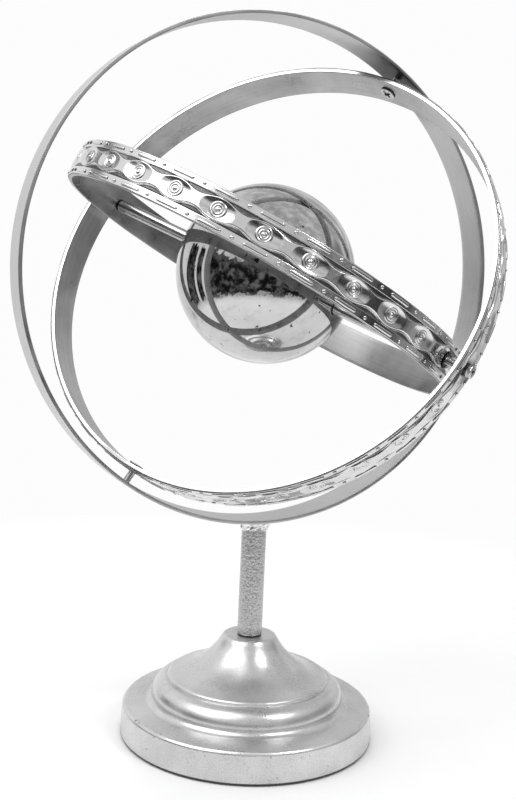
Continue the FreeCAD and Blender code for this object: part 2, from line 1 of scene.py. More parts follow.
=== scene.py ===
"""Gyroscope on stand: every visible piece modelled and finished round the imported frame.

Lengths in the classes are in millimetres, as on the maker's drawing, and become metres where a mesh
is made. The finishes count their depths in metres and their waves to the metre. Each ring's pieces are
made about the ring's own axis and then stood in its rest position.
"""

import logging
import math
from dataclasses import dataclass
from enum import Enum

import bmesh
import bpy
import numpy as np
from mathutils import Matrix, Vector


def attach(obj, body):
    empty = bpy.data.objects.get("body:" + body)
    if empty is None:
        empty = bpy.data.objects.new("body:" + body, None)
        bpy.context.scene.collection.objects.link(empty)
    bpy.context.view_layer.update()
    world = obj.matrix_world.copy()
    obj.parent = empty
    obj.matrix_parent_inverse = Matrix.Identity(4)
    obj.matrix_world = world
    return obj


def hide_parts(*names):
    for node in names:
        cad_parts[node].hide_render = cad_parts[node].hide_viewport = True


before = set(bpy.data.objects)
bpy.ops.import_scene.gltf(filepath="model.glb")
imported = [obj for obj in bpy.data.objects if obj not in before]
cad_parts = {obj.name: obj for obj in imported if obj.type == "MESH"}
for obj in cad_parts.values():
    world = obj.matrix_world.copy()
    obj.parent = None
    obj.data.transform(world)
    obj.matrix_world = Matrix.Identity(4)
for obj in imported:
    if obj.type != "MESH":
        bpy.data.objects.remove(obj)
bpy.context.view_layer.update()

log = logging.getLogger("gyroscope")

MM = 0.001
RING_CENTRE = Vector((0.0, 0.0, 260 * MM))
SMOOTH_ANGLE = math.radians(38)
RELIEF_ANGLE = math.radians(75)
MADE_AT = "made_at"

# The rings' rest positions, in degrees: each is turned from the one outside it.
OUTER_PIVOT_ROLL = 55.9
MIDDLE_RING_TILT = -55
INNER_PIVOT_PLACE = -90
INNER_RING_TILT = -82.6

# Working limits of the mesh making: metres where a name says so, otherwise millimetres or a share.
MERGE_METRES = 1e-8
AXIS_REACH = 1e-6
EASED_EDGE_SHARE = 0.45
EASING_STEPS = 4

# Holes for the pivot screws, and the reach of the drill that makes them, in millimetres.
TAPPED_RADIUS = 1.9
RUNNING_RADIUS = 2.05
DRILL_REACH = 150

# Tone of painted shade in recesses, along contact lines and round the outer pivots, where some of it is
# grime too.
SHADE_AND_GRIME_TONE = 0.015
WHITE_STRENGTH = 0.98


class Body(Enum):
    """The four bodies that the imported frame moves."""

    STAND = "stand"
    MIDDLE_RING = "middle_ring"
    INNER_RING = "inner_ring"
    BALL = "ball"


class Slot(Enum):
    """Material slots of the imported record."""

    RING_SATIN = "ring_satin"
    BAND_SATIN = "band_satin"
    EMBOSSED_NICKEL = "embossed_nickel"
    AXLE_STEEL = "axle_steel"
    BALL_CHROME = "ball_chrome"
    BLACK_NYLON = "black_nylon"
    BLACK_STEEL = "black_steel"
    SCREW_NICKEL = "screw_nickel"
    COLUMN_SILVER = "column_silver"
    WELD_BEAD = "weld_bead"
    ZINC_STEEL = "zinc_steel"
    BASE_SILVER = "base_silver"
    CAST_IRON = "cast_iron"
    FELT_PAD = "felt_pad"


class Stance(Enum):
    """Where pieces stand at rest: on the floor axis, or with Z along a ring's own axis."""

    FLOOR = "floor"
    OUTER = "outer"
    MIDDLE = "middle"
    INNER = "inner"

    def matrix(self) -> Matrix:
        """The placement that carries this stance's own frame into the row frame.

        Returns:
            The placement, in metres.
        """
        if self is Stance.FLOOR:
            return Matrix.Identity(4)
        stood = Matrix.Rotation(math.radians(90), 4, "X")
        stood = stood @ Matrix.Rotation(math.radians(OUTER_PIVOT_ROLL), 4, "Z")
        if self is not Stance.OUTER:
            stood = stood @ Matrix.Rotation(math.radians(MIDDLE_RING_TILT), 4, "X")
        if self is Stance.INNER:
            stood = stood @ Matrix.Rotation(math.radians(INNER_PIVOT_PLACE), 4, "Z")
            stood = stood @ Matrix.Rotation(math.radians(INNER_RING_TILT), 4, "X")
        return Matrix.Translation(RING_CENTRE) @ stood

    def along_pivot(self, side: int) -> Matrix:
        """The placement of a piece whose Z runs out along the ring's X axis, or the other way.

        Args:
            side: 1 for the +X side of the ring, -1 for the other.

        Returns:
            The placement in the row frame.
        """
        return self.matrix() @ Matrix.Rotation(math.radians(90 * side), 4, "Y")


@dataclass(frozen=True)
class Arc:
    """A round edge of an outline: it runs to the next corner.

    radius is in millimetres, positive where the edge bulges to the right of the way.
    """

    radius: float


def arc_points(start: Vector, end: Vector, radius: float, steps: int) -> list[Vector]:
    """Points along a round edge between two corners, without the corners.

    Args:
        start: the first corner.
        end: the last corner.
        radius: positive where the edge bulges right of the way, negative for left.
        steps: how many chords.

    Returns:
        The points between the corners.
    """
    half = (end - start) / 2
    side = Vector((half.y, -half.x)).normalized()
    reach = math.sqrt(radius ** 2 - half.length ** 2)
    turn = 1 if radius > 0 else -1
    centre = start + half - side * turn * reach
    first = start - centre
    last = end - centre
    swept = math.atan2(first.x * last.y - first.y * last.x, first.dot(last))
    found = []
    for step in range(1, steps):
        angle = swept * step / steps
        turned = Vector((
            first.x * math.cos(angle) - first.y * math.sin(angle),
            first.x * math.sin(angle) + first.y * math.cos(angle),
        ))
        found.append(centre + turned)
    return found


def drawn_outline(corners: list, softness: float, closed: bool = True, steps: int = 14) -> list[Vector]:
    """An outline of corners and arcs, with each sharp corner eased.

    Args:
        corners: pairs (radius, height) in millimetres, each with a third item where an Arc follows
            or a number that replaces the softness there.
        softness: how far from a corner its easing starts, in millimetres.
        closed: whether the outline returns to its first corner.
        steps: chords in each arc.

    Returns:
        The outline's points in millimetres.
    """
    points = []
    eased = []
    for index, corner in enumerate(corners):
        here = Vector(corner[:2])
        extra = corner[2:]
        reach = next((item for item in extra if isinstance(item, (int, float))), softness)
        points.append(here)
        eased.append(reach)
        arc = next((item for item in extra if isinstance(item, Arc)), None)
        if arc:
            following = Vector(corners[(index + 1) % len(corners)][:2])
            between = arc_points(here, following, arc.radius, steps)
            points.extend(between)
            eased.extend([0.0] * len(between))
    found = []
    count = len(points)
    for index, here in enumerate(points):
        at_end = not closed and index in (0, count - 1)
        reach = eased[index]
        if at_end or reach <= 0 or here.x < AXIS_REACH:
            found.append(here)
            continue
        before = points[index - 1] - here
        after = points[(index + 1) % count] - here
        near = min(reach, before.length * EASED_EDGE_SHARE, after.length * EASED_EDGE_SHARE)
        first = here + before.normalized() * near
        last = here + after.normalized() * near
        for step in range(EASING_STEPS + 1):
            share = step / EASING_STEPS
            found.append(first * (1 - share) ** 2 + here * 2 * share * (1 - share) + last * share ** 2)
    return found


def meshed_grid(name: str, points: np.ndarray, closed_section: bool) -> bpy.types.Mesh:
    """A mesh from a grid that closes on itself round its first axis.

    Args:
        name: the mesh's name.
        points: array (around, along, 3) in millimetres.
        closed_section: whether the second axis closes on itself too.

    Returns:
        The mesh in metres, its poles merged and its faces turned outwards.
    """
    rows, columns = points.shape[:2]
    row, column = np.meshgrid(
        np.arange(rows), np.arange(columns if closed_section else columns - 1), indexing="ij"
    )
    next_row = (row + 1) % rows
    next_column = (column + 1) % columns
    faces = np.stack(
        [
            row * columns + column,
            next_row * columns + column,
            next_row * columns + next_column,
            row * columns + next_column,
        ],
        axis=-1,
    ).reshape(-1, 4)
    mesh = bpy.data.meshes.new(name)
    mesh.from_pydata((points.reshape(-1, 3) * MM).tolist(), [], faces.tolist())
    shaped = bmesh.new()
    shaped.from_mesh(mesh)
    bmesh.ops.remove_doubles(shaped, verts=shaped.verts, dist=MERGE_METRES)
    bmesh.ops.recalc_face_normals(shaped, faces=shaped.faces)
    shaped.to_mesh(mesh)
    shaped.free()
    return mesh


def turned(name: str, outline: list[Vector], segments: int, closed: bool = True) -> bpy.types.Mesh:
    """A mesh turned on the lathe about Z.

    Args:
        name: the mesh's name.
        outline: points (radius, height) in millimetres.
        segments: how many steps round.
        closed: whether the outline is a closed section, rather than one that ends on the axis.

    Returns:
        The mesh in metres.
    """
    section = np.array([(point.x, point.y) for point in outline])
    angle = np.linspace(0, 2 * math.pi, segments, endpoint=False)[:, None]
    points = np.stack(
        [
            section[:, 0] * np.cos(angle),
            section[:, 0] * np.sin(angle),
            np.broadcast_to(section[:, 1], (segments, len(section))),
        ],
        axis=-1,
    )
    return meshed_grid(name, points, closed)


def unevenness(where: np.ndarray, wavelength: float, seed: int, waves: int = 9) -> np.ndarray:
    """A soft random wave of about unit height, the same at each run.

    Args:
        where: array (..., 3) of places in millimetres.
        wavelength: the usual distance between crests, in millimetres.
        seed: which of the random waves.
        waves: how many plane waves are summed.

    Returns:
        Heights, one for each place.
    """
    source = np.random.default_rng(seed)
    total = np.zeros(where.shape[:-1])
    for _ in range(waves):
        direction = source.normal(size=3)
        direction *= 2 * math.pi / (wavelength * np.linalg.norm(direction) * source.uniform(0.6, 1.6))
        total += np.sin(where @ direction + source.uniform(0, 2 * math.pi))
    return total / math.sqrt(waves)


def eased_step(value: np.ndarray, low: float, high: float) -> np.ndarray:
    """0 below low, 1 above high, and a smooth slope between them."""
    share = np.clip((value - low) / (high - low), 0, 1)
    return share * share * (3 - 2 * share)


def keep_numbers(mesh: bpy.types.Mesh, name: str, values: np.ndarray) -> None:
    """Keep a number for each point of a mesh, for its material to read.

    Args:
        mesh: the mesh.
        name: the attribute's name.
        values: the numbers, one for each point.
    """
    mesh.attributes.new(name, "FLOAT", "POINT").data.foreach_set("value", values.astype(np.float32))


def points_of(mesh: bpy.types.Mesh) -> np.ndarray:
    """The places of a mesh's points in millimetres, as an array (points, 3).

    Args:
        mesh: the mesh, in metres.

    Returns:
        The places.
    """
    places = np.empty(len(mesh.vertices) * 3)
    mesh.vertices.foreach_get("co", places)
    return places.reshape(-1, 3) / MM


class Board:
    """A material's node tree, with short calls for its usual nodes."""

    def __init__(self, name: str, carried: bool = False) -> None:
        """Start an empty principled material.

        Args:
            name: the material's name.
            carried: whether it is for CAD nodes, which have no coordinates of their own making.
        """
        self.material = bpy.data.materials.new(name)
        self.material.use_nodes = True
        self.tree = self.material.node_tree
        self.shader = self.tree.nodes["Principled BSDF"]
        if carried:
            self.place = self.add("TexCoord").outputs["Object"]
        else:
            self.place = self.add("Attribute", attribute_name=MADE_AT).outputs["Vector"]

    def add(self, kind: str, **settings: object) -> bpy.types.Node:
        """A new node with its properties set.

        Args:
            kind: the node's kind, without its first word.
            settings: its properties by name.

        Returns:
            The node.
        """
        node = self.tree.nodes.new("ShaderNode" + kind)
        for key, value in settings.items():
            setattr(node, key, value)
        return node

    def join(self, source: bpy.types.NodeSocket, target: bpy.types.NodeSocket) -> None:
        """Link an output to an input."""
        self.tree.links.new(source, target)

    def scaled(self, scale: tuple[float, float, float]) -> bpy.types.NodeSocket:
        """The piece's own coordinates, stretched by three factors.

        Args:
            scale: the factors along X, Y and Z.

        Returns:
            The coordinates.
        """
        node = self.add("Mapping")
        self.join(self.place, node.inputs["Vector"])
        node.inputs["Scale"].default_value = scale
        return node.outputs["Vector"]

    def noise(
        self, scale: tuple[float, float, float], detail: float = 3.0, rough: float = 0.55
    ) -> bpy.types.NodeSocket:
        """Soft noise in the piece's own coordinates, scales in waves to the metre.

        Args:
            scale: waves to the metre along X, Y and Z.
            detail: how many finer layers it has.
            rough: how strong the finer layers are.

        Returns:
            The noise, about 0.5.
        """
        node = self.add("TexNoise")
        node.inputs["Scale"].default_value = 1.0
        node.inputs["Detail"].default_value = detail
        node.inputs["Roughness"].default_value = rough
        self.join(self.scaled(scale), node.inputs["Vector"])
        return node.outputs["Fac"]

    def cells(self, scale: float) -> bpy.types.NodeSocket:
        """Distance to the nearest of scattered points.

        Args:
            scale: how many points there are to the metre.

        Returns:
            The distance, in spacings.
        """
        node = self.add("TexVoronoi")
        node.inputs["Scale"].default_value = 1.0
        self.join(self.scaled((scale,) * 3), node.inputs["Vector"])
        return node.outputs["Distance"]

    def mapped(
        self, source: bpy.types.NodeSocket, low: float, high: float, to_low: float, to_high: float
    ) -> bpy.types.NodeSocket:
        """A value carried from one range to another, and held within it.

        Args:
            source: the value.
            low: where the first range starts.
            high: where it ends.
            to_low: what low becomes.
            to_high: what high becomes.

        Returns:
            The new value.
        """
        node = self.add("MapRange")
        for key, value in zip(("From Min", "From Max", "To Min", "To Max"), (low, high, to_low, to_high)):
            node.inputs[key].default_value = value
        self.join(source, node.inputs["Value"])
        return node.outputs["Result"]

    def sum_of(self, kind: str, first: object, second: object) -> bpy.types.NodeSocket:
        """A sum, product or other step of arithmetic on sockets or numbers.

        Args:
            kind: the operation's name.
            first: the first socket or number.
            second: the second socket or number.

        Returns:
            The result.
        """
        node = self.add("Math", operation=kind)
        for socket, value in zip(node.inputs, (first, second)):
            if isinstance(value, (int, float)):
                socket.default_value = value
            else:
                self.join(value, socket)
        return node.outputs[0]

    def tinted(self, share: bpy.types.NodeSocket, first: object, second: object) -> bpy.types.NodeSocket:
        """A colour between two greys or sockets.

        Args:
            share: how far the colour is from the first towards the second.
            first: a grey, a colour or a socket.
            second: another.

        Returns:
            The colour.
        """
        node = self.add("Mix", data_type="RGBA")
        self.join(share, node.inputs["Factor"])
        for socket, value in ((node.inputs[6], first), (node.inputs[7], second)):
            if isinstance(value, (int, float)):
                socket.default_value = (value, value, value, 1)
            elif isinstance(value, tuple):
                socket.default_value = (*value, 1)
            else:
                self.join(value, socket)
        return node.outputs[2]

    def bumped(
        self, height: bpy.types.NodeSocket, depth: float, under: object = None
    ) -> bpy.types.NodeSocket:
        """A bumped normal of the given depth in metres, over another where one is given.

        Args:
            height: the relief, from 0 to 1.
            depth: how high 1 is, in metres.
            under: the normal that it is laid over.

        Returns:
            The normal.
        """
        node = self.add("Bump")
        node.inputs["Strength"].default_value = 1.0
        node.inputs["Distance"].default_value = depth
        self.join(height, node.inputs["Height"])
        if under is not None:
            self.join(under, node.inputs["Normal"])
        return node.outputs["Normal"]

    def dress(
        self, colour: object, roughness: object, normal: object, metallic: float, **fixed: float
    ) -> bpy.types.Material:
        """Join the finished channels to the shader.

        Args:
            colour: socket of the base colour.
            roughness: socket or number.
            normal: socket of the bumped normal.
            metallic: how much of a metal it is.
            fixed: other values of the shader, by its socket names with underscores.

        Returns:
            The material.
        """
        self.join(colour, self.shader.inputs["Base Color"])
        if isinstance(roughness, (int, float)):
            self.shader.inputs["Roughness"].default_value = roughness
        else:
            self.join(roughness, self.shader.inputs["Roughness"])
        if normal is not None:
            self.join(normal, self.shader.inputs["Normal"])
        self.shader.inputs["Metallic"].default_value = metallic
        for key, value in fixed.items():
            self.shader.inputs[key.replace("_", " ")].default_value = value
        return self.material


@dataclass(frozen=True)
class WorkedMetal:
    """A bare or plated metal with the lay of its working, faint clouding and fine scratches.

    edge_highlight_tone is the tone of a painted highlight along a band's edges, 0 where there is none,
    and edge_shade_tone that of the painted dark line beside it. edge_levels and line_levels say between
    which distances from the middle of a band the edge and the dark line beside it begin, in metres, and
    shaded_band_share how much of its tone a band without the painted highlight keeps, as painted shade.
    """

    name: str
    tone: float
    shade: float
    roughness: tuple[float, float]
    lay: tuple[float, float, float]
    lay_depth: float
    cloud: float = 60.0
    grain: float = 2600.0
    grain_depth: float = 0.000004
    lay_share: float = 0.6
    carried: bool = False
    shaded_and_grimed: bool = False
    edge_highlight_tone: float = 0.0
    edge_shade_tone: float = 0.1
    edge_levels: tuple[float, float] = (9.75 * MM, 9.85 * MM)
    line_levels: tuple[float, float] = (9.45 * MM, 9.55 * MM)
    shaded_band_share: float = 0.78

    def material(self) -> bpy.types.Material:
        """The finish as a material, with painted highlights, painted shade and grime where they are asked
        for.

        Returns:
            The material.
        """
        board = Board(self.name, self.carried)
        lay = board.noise(self.lay, detail=4)
        cloud = board.noise((self.cloud,) * 3, detail=4)
        grain = board.noise((self.grain,) * 3, detail=2)
        streaked = board.sum_of("ADD", cloud, board.sum_of("MULTIPLY", lay, self.lay_share))
        share = board.mapped(streaked, 0.55, 1.05, 0, 1)
        colour = board.tinted(share, self.shade, self.tone)
        # Painted highlight along the flagged band's edges with a painted dark line beside it; a band
        # without the flag is painted darker all over, as shade.
        if self.edge_highlight_tone:
            parts = board.add("SeparateXYZ")
            board.join(board.place, parts.inputs["Vector"])
            level = board.sum_of("ABSOLUTE", parts.outputs["Z"], 0.0)
            rubbed_and_highlit = board.add("Attribute", attribute_name="rubbed_and_highlit").outputs["Fac"]
            shaded_band = board.tinted(share, self.shade * self.shaded_band_share, self.tone * self.shaded_band_share)
            colour = board.tinted(rubbed_and_highlit, shaded_band, colour)
            line = board.sum_of("MULTIPLY", board.mapped(level, *self.line_levels, 0, 1), rubbed_and_highlit)
            edge = board.sum_of("MULTIPLY", board.mapped(level, *self.edge_levels, 0, 1), rubbed_and_highlit)
            colour = board.tinted(edge, board.tinted(line, colour, self.edge_shade_tone), self.edge_highlight_tone)
        # Painted shade in recesses and at contact lines, and round the outer pivots, where it is partly
        # grime too.
        if self.shaded_and_grimed:
            shade_and_grime = board.add("Attribute", attribute_name="shade_and_grime").outputs["Fac"]
            colour = board.tinted(board.mapped(shade_and_grime, 0.0, 0.7, 0, 1), colour, SHADE_AND_GRIME_TONE)
        roughness = board.mapped(cloud, 0.3, 0.7, *self.roughness)
        normal = board.bumped(lay, self.lay_depth, board.bumped(grain, self.grain_depth))
        return board.dress(colour, roughness, normal, 1.0)


@dataclass(frozen=True)
class StampedNickel:
    """Bright plate over stamped relief, darker in hollows and round pivots: painted shade with some patina
    and soot.
    """

    name: str = "stamped_nickel"
    crest: float = 0.7
    hollow: float = 0.13

    def material(self) -> bpy.types.Material:
        """The finish as a material.

        Returns:
            The material.
        """
        board = Board(self.name)
        relief = board.add("Attribute", attribute_name="relief").outputs["Fac"]
        cloud = board.noise((140,) * 3, detail=2)
        grain = board.noise((1500,) * 3, detail=2)
        # Darker where the kept number is low: painted shade in hollows, on low sides and round pivots, with
        # some patina and soot.
        shade_and_polish = board.sum_of("ADD", relief, board.mapped(cloud, 0.3, 0.7, -0.12, 0.12))
        colour = board.tinted(board.mapped(shade_and_polish, -0.05, 0.4, 0, 1), self.hollow, self.crest)
        roughness = board.sum_of(
            "ADD", board.mapped(shade_and_polish, 0.1, 0.6, 0.34, 0.15), board.mapped(grain, 0.35, 0.7, 0, 0.03)
        )
        normal = board.bumped(grain, 0.000001, board.bumped(cloud, 0.00012))
        return board.dress(colour, roughness, normal, 1.0)


@dataclass(frozen=True)
class BallChrome:
    """Mirror plate with wiped smears, hairlines, a thin film and a few dark specks."""

    name: str = "ball_mirror"
    plate: tuple[float, float] = (0.5, 0.6)
    film_tone: float = 0.3
    speck_tone: float = 0.03

    def material(self) -> bpy.types.Material:
        """The finish as a material.

        Returns:
            The material.
        """
        board = Board(self.name)
        smear = board.noise((38, 60, 24), detail=5)
        hairline = board.noise((30, 900, 400), detail=2)
        spots = board.noise((210, 260, 230), detail=4, rough=0.6)
        film = board.noise((90, 120, 100), detail=6, rough=0.7)
        plate = board.tinted(board.mapped(smear, 0.35, 0.7, 0, 1), *self.plate)
        stained = board.tinted(board.mapped(film, 0.5, 0.64, 0, 0.4), plate, self.film_tone)
        colour = board.tinted(board.mapped(spots, 0.665, 0.69, 0, 1), stained, self.speck_tone)
        roughness = board.sum_of(
            "ADD", board.mapped(smear, 0.45, 0.75, 0.025, 0.07), board.mapped(hairline, 0.62, 0.8, 0, 0.05)
        )
        normal = board.bumped(board.noise((45,) * 3, detail=1), 0.00006)
        return board.dress(colour, roughness, normal, 1.0)


@dataclass(frozen=True)
class BlackPart:
    """Blackened steel or moulded nylon, rubbed paler in places."""

    name: str
    tone: float
    rubbed_and_highlit: float
    roughness: float
    metallic: float

    def material(self) -> bpy.types.Material:
        """The finish as a material.

        Returns:
            The material.
        """
        board = Board(self.name)
        cloud = board.noise((420,) * 3, detail=4)
        grain = board.noise((5200,) * 3, detail=2)
        colour = board.tinted(board.mapped(cloud, 0.45, 0.75, 0, 1), self.tone, self.rubbed_and_highlit)
        roughness = board.mapped(cloud, 0.3, 0.7, self.roughness, self.roughness + 0.15)
        return board.dress(colour, roughness, board.bumped(grain, 0.00001), self.metallic)


@dataclass(frozen=True)
class HammeredSilver:
    """Silver paint over a scaled, pitted tube."""

    name: str
    tone: float
    pit: float
    pitch: float
    depth: float
    foot_shadow_level: float = 0.0
    foot_shadow_fade: float = 0.15

    def material(self) -> bpy.types.Material:
        """The finish as a material, with a painted shadow below the foot shadow's level.

        Returns:
            The material.
        """
        board = Board(self.name)
        lumps = board.cells(self.pitch)
        rough = board.noise((self.pitch * 1.6,) * 3, detail=5, rough=0.65)
        height = board.sum_of("ADD", lumps, board.sum_of("MULTIPLY", rough, 1.2))
        pits = board.mapped(rough, 0.36, 0.46, 1, 0)
        colour = board.tinted(pits, self.tone, self.pit)
        # Painted contact shadow: near black below the level where the tube stands on the base.
        if self.foot_shadow_level:
            parts = board.add("SeparateXYZ")
            board.join(board.place, parts.inputs["Vector"])
            level, fade = self.foot_shadow_level * MM, (self.foot_shadow_level - self.foot_shadow_fade) * MM
            low = board.mapped(parts.outputs["Z"], level, fade, 0, 1)
            colour = board.tinted(low, colour, SHADE_AND_GRIME_TONE)
        roughness = board.mapped(rough, 0.35, 0.65, 0.36, 0.24)
        return board.dress(colour, roughness, board.bumped(height, self.depth), 1.0)


@dataclass(frozen=True)
class SpunSilver:
    """Satin silver over spun sheet: lathe rings, grain, specks, rim chips, and a painted shadow line at the
    foot.
    """

    name: str = "spun_silver"
    tone: float = 0.76
    shade: float = 0.5
    rim_radius: float = 70.0
    rim_top: float = 17.7
    ring_waves: float = 1900.0
    grain_share: float = 0.9
    speck_tone: float = 0.3
    chip_and_foot_shadow_tone: float = 0.05

    def material(self) -> bpy.types.Material:
        """The finish as a material.

        Returns:
            The material.
        """
        board = Board(self.name)
        parts = board.add("SeparateXYZ")
        board.join(board.place, parts.inputs["Vector"])
        flat = board.add("CombineXYZ")
        board.join(parts.outputs["X"], flat.inputs["X"])
        board.join(parts.outputs["Y"], flat.inputs["Y"])
        length = board.add("VectorMath", operation="LENGTH")
        board.join(flat.outputs["Vector"], length.inputs[0])
        radius = length.outputs["Value"]
        rings_at = board.add("CombineXYZ")
        board.join(board.sum_of("MULTIPLY", radius, self.ring_waves), rings_at.inputs["X"])
        board.join(board.sum_of("MULTIPLY", parts.outputs["Z"], self.ring_waves), rings_at.inputs["Y"])
        rings = board.add("TexNoise")
        rings.inputs["Scale"].default_value = 1.0
        rings.inputs["Detail"].default_value = 2.0
        board.join(rings_at.outputs["Vector"], rings.inputs["Vector"])
        cloud = board.noise((42,) * 3, detail=5)
        speck = board.noise((1700,) * 3, detail=3)
        chip_shape = board.noise((330,) * 3, detail=5, rough=0.7)
        at_rim = board.mapped(radius, (self.rim_radius - 3) * MM, self.rim_radius * MM, 0, 1)
        rim_top = self.rim_top * MM
        near_edge = board.mapped(parts.outputs["Z"], rim_top - 0.004, rim_top - 0.001, 0.35, 1)
        near_foot = board.mapped(parts.outputs["Z"], 0.0022, 0.0008, 0, 1)
        zone = board.sum_of("MULTIPLY", at_rim, board.sum_of("MAXIMUM", near_edge, near_foot))
        chips = board.sum_of("MULTIPLY", board.mapped(chip_shape, 0.635, 0.66, 0, 1), zone)
        grain = board.sum_of("MULTIPLY", board.noise((2100,) * 3, detail=1), self.grain_share)
        share = board.mapped(board.sum_of("ADD", cloud, grain), 0.65, 1.25, 0, 1)
        base = board.tinted(share, self.shade, self.tone)
        specked = board.tinted(board.mapped(speck, 0.62, 0.74, 0, 0.45), base, self.speck_tone)
        # Painted contact shadow along the foot, in the same tone as the chips.
        foot_shadow = board.mapped(parts.outputs["Z"], 0.0017, 0.0012, 0, 1)
        colour = board.tinted(board.sum_of("MAXIMUM", chips, foot_shadow), specked, self.chip_and_foot_shadow_tone)
        dull_chips = board.sum_of("MULTIPLY", chips, 0.3)
        roughness = board.sum_of("ADD", board.mapped(cloud, 0.3, 0.7, 0.25, 0.32), dull_chips)
        normal = board.bumped(rings.outputs["Fac"], 0.000012, board.bumped(speck, 0.00004))
        return board.dress(colour, roughness, normal, 0.95)


@dataclass(frozen=True)
class CastIron:
    """Raw sand casting."""

    name: str = "raw_casting"

    def material(self) -> bpy.types.Material:
        """The finish as a material.

        Returns:
            The material.
        """
        board = Board(self.name, carried=True)
        sand = board.noise((900,) * 3, detail=5, rough=0.7)
        cloud = board.noise((70,) * 3, detail=3)
        colour = board.tinted(cloud, (0.06, 0.058, 0.056), (0.13, 0.12, 0.115))
        return board.dress(colour, 0.72, board.bumped(sand, 0.0003), 0.6)


@dataclass(frozen=True)
class PressedFelt:
    """Dark wool felt: matted fibres."""

    name: str = "pressed_felt"

    def material(self) -> bpy.types.Material:
        """The finish as a material.

        Returns:
            The material.
        """
        board = Board(self.name, carried=True)
        fibres = board.noise((2400, 900, 2400), detail=5, rough=0.7)
        tufts = board.noise((260,) * 3, detail=3)
        colour = board.tinted(fibres, (0.012, 0.012, 0.013), (0.07, 0.07, 0.072))
        height = board.sum_of("ADD", fibres, tufts)
        return board.dress(colour, 0.95, board.bumped(height, 0.0005), 0.0, Sheen_Weight=0.4)


class Finishes:
    """Every finish of the object, by the record's slot."""

    def __init__(self) -> None:
        """Make each material once."""
        makers = {
            Slot.RING_SATIN: WorkedMetal(
                "ring_satin_bar", 0.61, 0.51, (0.26, 0.38), (70, 70, 1500), 0.000006, grain_depth=0.000002,
                shaded_and_grimed=True
            ),
            # This band finish paints a highlight on the flagged band's edges and shade over the other band.
            Slot.BAND_SATIN: WorkedMetal(
                "band_satin_bar", 0.52, 0.35, (0.25, 0.38), (26, 26, 800), 0.00002, grain_depth=0.000006,
                edge_highlight_tone=0.85
            ),
            Slot.EMBOSSED_NICKEL: StampedNickel(),
            Slot.AXLE_STEEL: WorkedMetal(
                "axle_bright_bar", 0.6, 0.46, (0.16, 0.26), (900, 900, 40), 0.000001, grain_depth=0.000001,
                shaded_and_grimed=True
            ),
            Slot.BALL_CHROME: BallChrome(),
            Slot.BLACK_NYLON: BlackPart("black_moulding", 0.012, 0.04, 0.42, 0.0),
            Slot.BLACK_STEEL: BlackPart("black_oxide_steel", 0.02, 0.09, 0.34, 0.8),
            Slot.SCREW_NICKEL: WorkedMetal(
                "screw_plating", 0.66, 0.5, (0.16, 0.26), (900, 900, 900), 0.000012, shaded_and_grimed=True
            ),
            # The column's last number is the level below which its foot is painted in shadow.
            Slot.COLUMN_SILVER: HammeredSilver("hammered_tube", 0.53, 0.2, 640, 0.00014, 57.65),
            Slot.WELD_BEAD: HammeredSilver("weld_skin", 0.86, 0.5, 300, 0.0001),
            Slot.ZINC_STEEL: WorkedMetal(
                "zinc_plating", 0.62, 0.48, (0.3, 0.4), (500, 500, 500), 0.00001, carried=True
            ),
            Slot.BASE_SILVER: SpunSilver(),
            Slot.CAST_IRON: CastIron(),
            Slot.FELT_PAD: PressedFelt(),
        }
        self.materials = {slot: maker.material() for slot, maker in makers.items()}

    def dress_node(self, node: str, slot: Slot) -> None:
        """Give a carried-over CAD node its material.

        Args:
            node: the CAD node's name.
            slot: the finish.
        """
        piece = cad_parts[node]
        piece.data.materials.clear()
        piece.data.materials.append(self.materials[slot])
        log.info("dressed node %s", node)


@dataclass
class Workshop:
    """Puts made meshes in place and hands them to the frame."""

    finishes: Finishes

    def fit(
        self, name: str, mesh: bpy.types.Mesh, place: Matrix, body: Body, slot: Slot, *nodes: str
    ) -> bpy.types.Object:
        """Make a piece of a mesh, dress it and let it ride on its body.

        Args:
            name: the piece's name.
            mesh: its mesh, in metres in its own frame.
            place: where that frame stands at rest.
            body: the body that it moves with.
            slot: its finish.
            nodes: the CAD nodes that it stands for.

        Returns:
            The piece.
        """
        for polygon in mesh.polygons:
            polygon.use_smooth = True
        mesh.set_sharp_from_angle(angle=RELIEF_ANGLE if slot is Slot.EMBOSSED_NICKEL else SMOOTH_ANGLE)
        places = np.empty(len(mesh.vertices) * 3, np.float32)
        mesh.vertices.foreach_get("co", places)
        mesh.attributes.new(MADE_AT, "FLOAT_VECTOR", "POINT").data.foreach_set("vector", places)
        mesh.transform(place)
        mesh.materials.clear()
        mesh.materials.append(self.finishes.materials[slot])
        piece = bpy.data.objects.new(name, mesh)
        bpy.context.scene.collection.objects.link(piece)
        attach(piece, body.value)
        if nodes:
            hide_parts(*nodes)
        log.info("made %s, %d faces, for %s", name, len(mesh.polygons), ", ".join(nodes) or "looks alone")
        return piece

    @staticmethod
    def hollowed(mesh: bpy.types.Mesh, cutters: list[bpy.types.Mesh]) -> bpy.types.Mesh:
        """A mesh with other meshes cut out of it.

        Args:
            mesh: the closed mesh that is cut.
            cutters: closed meshes in the same frame.

        Returns:
            The cut mesh.
        """
        blank = bpy.data.objects.new("blank", mesh)
        bpy.context.scene.collection.objects.link(blank)
        tools = []
        for cutter in cutters:
            tool = bpy.data.objects.new("cutter", cutter)
            bpy.context.scene.collection.objects.link(tool)
            step = blank.modifiers.new("cut", "BOOLEAN")
            step.operation = "DIFFERENCE"
            step.solver = "EXACT"
            step.object = tool
            tools.append(tool)
        bpy.context.view_layer.update()
        depsgraph = bpy.context.evaluated_depsgraph_get()
        cut = bpy.data.meshes.new_from_object(blank.evaluated_get(depsgraph))
        for used in [blank, *tools]:
            bpy.data.objects.remove(used)
        return cut


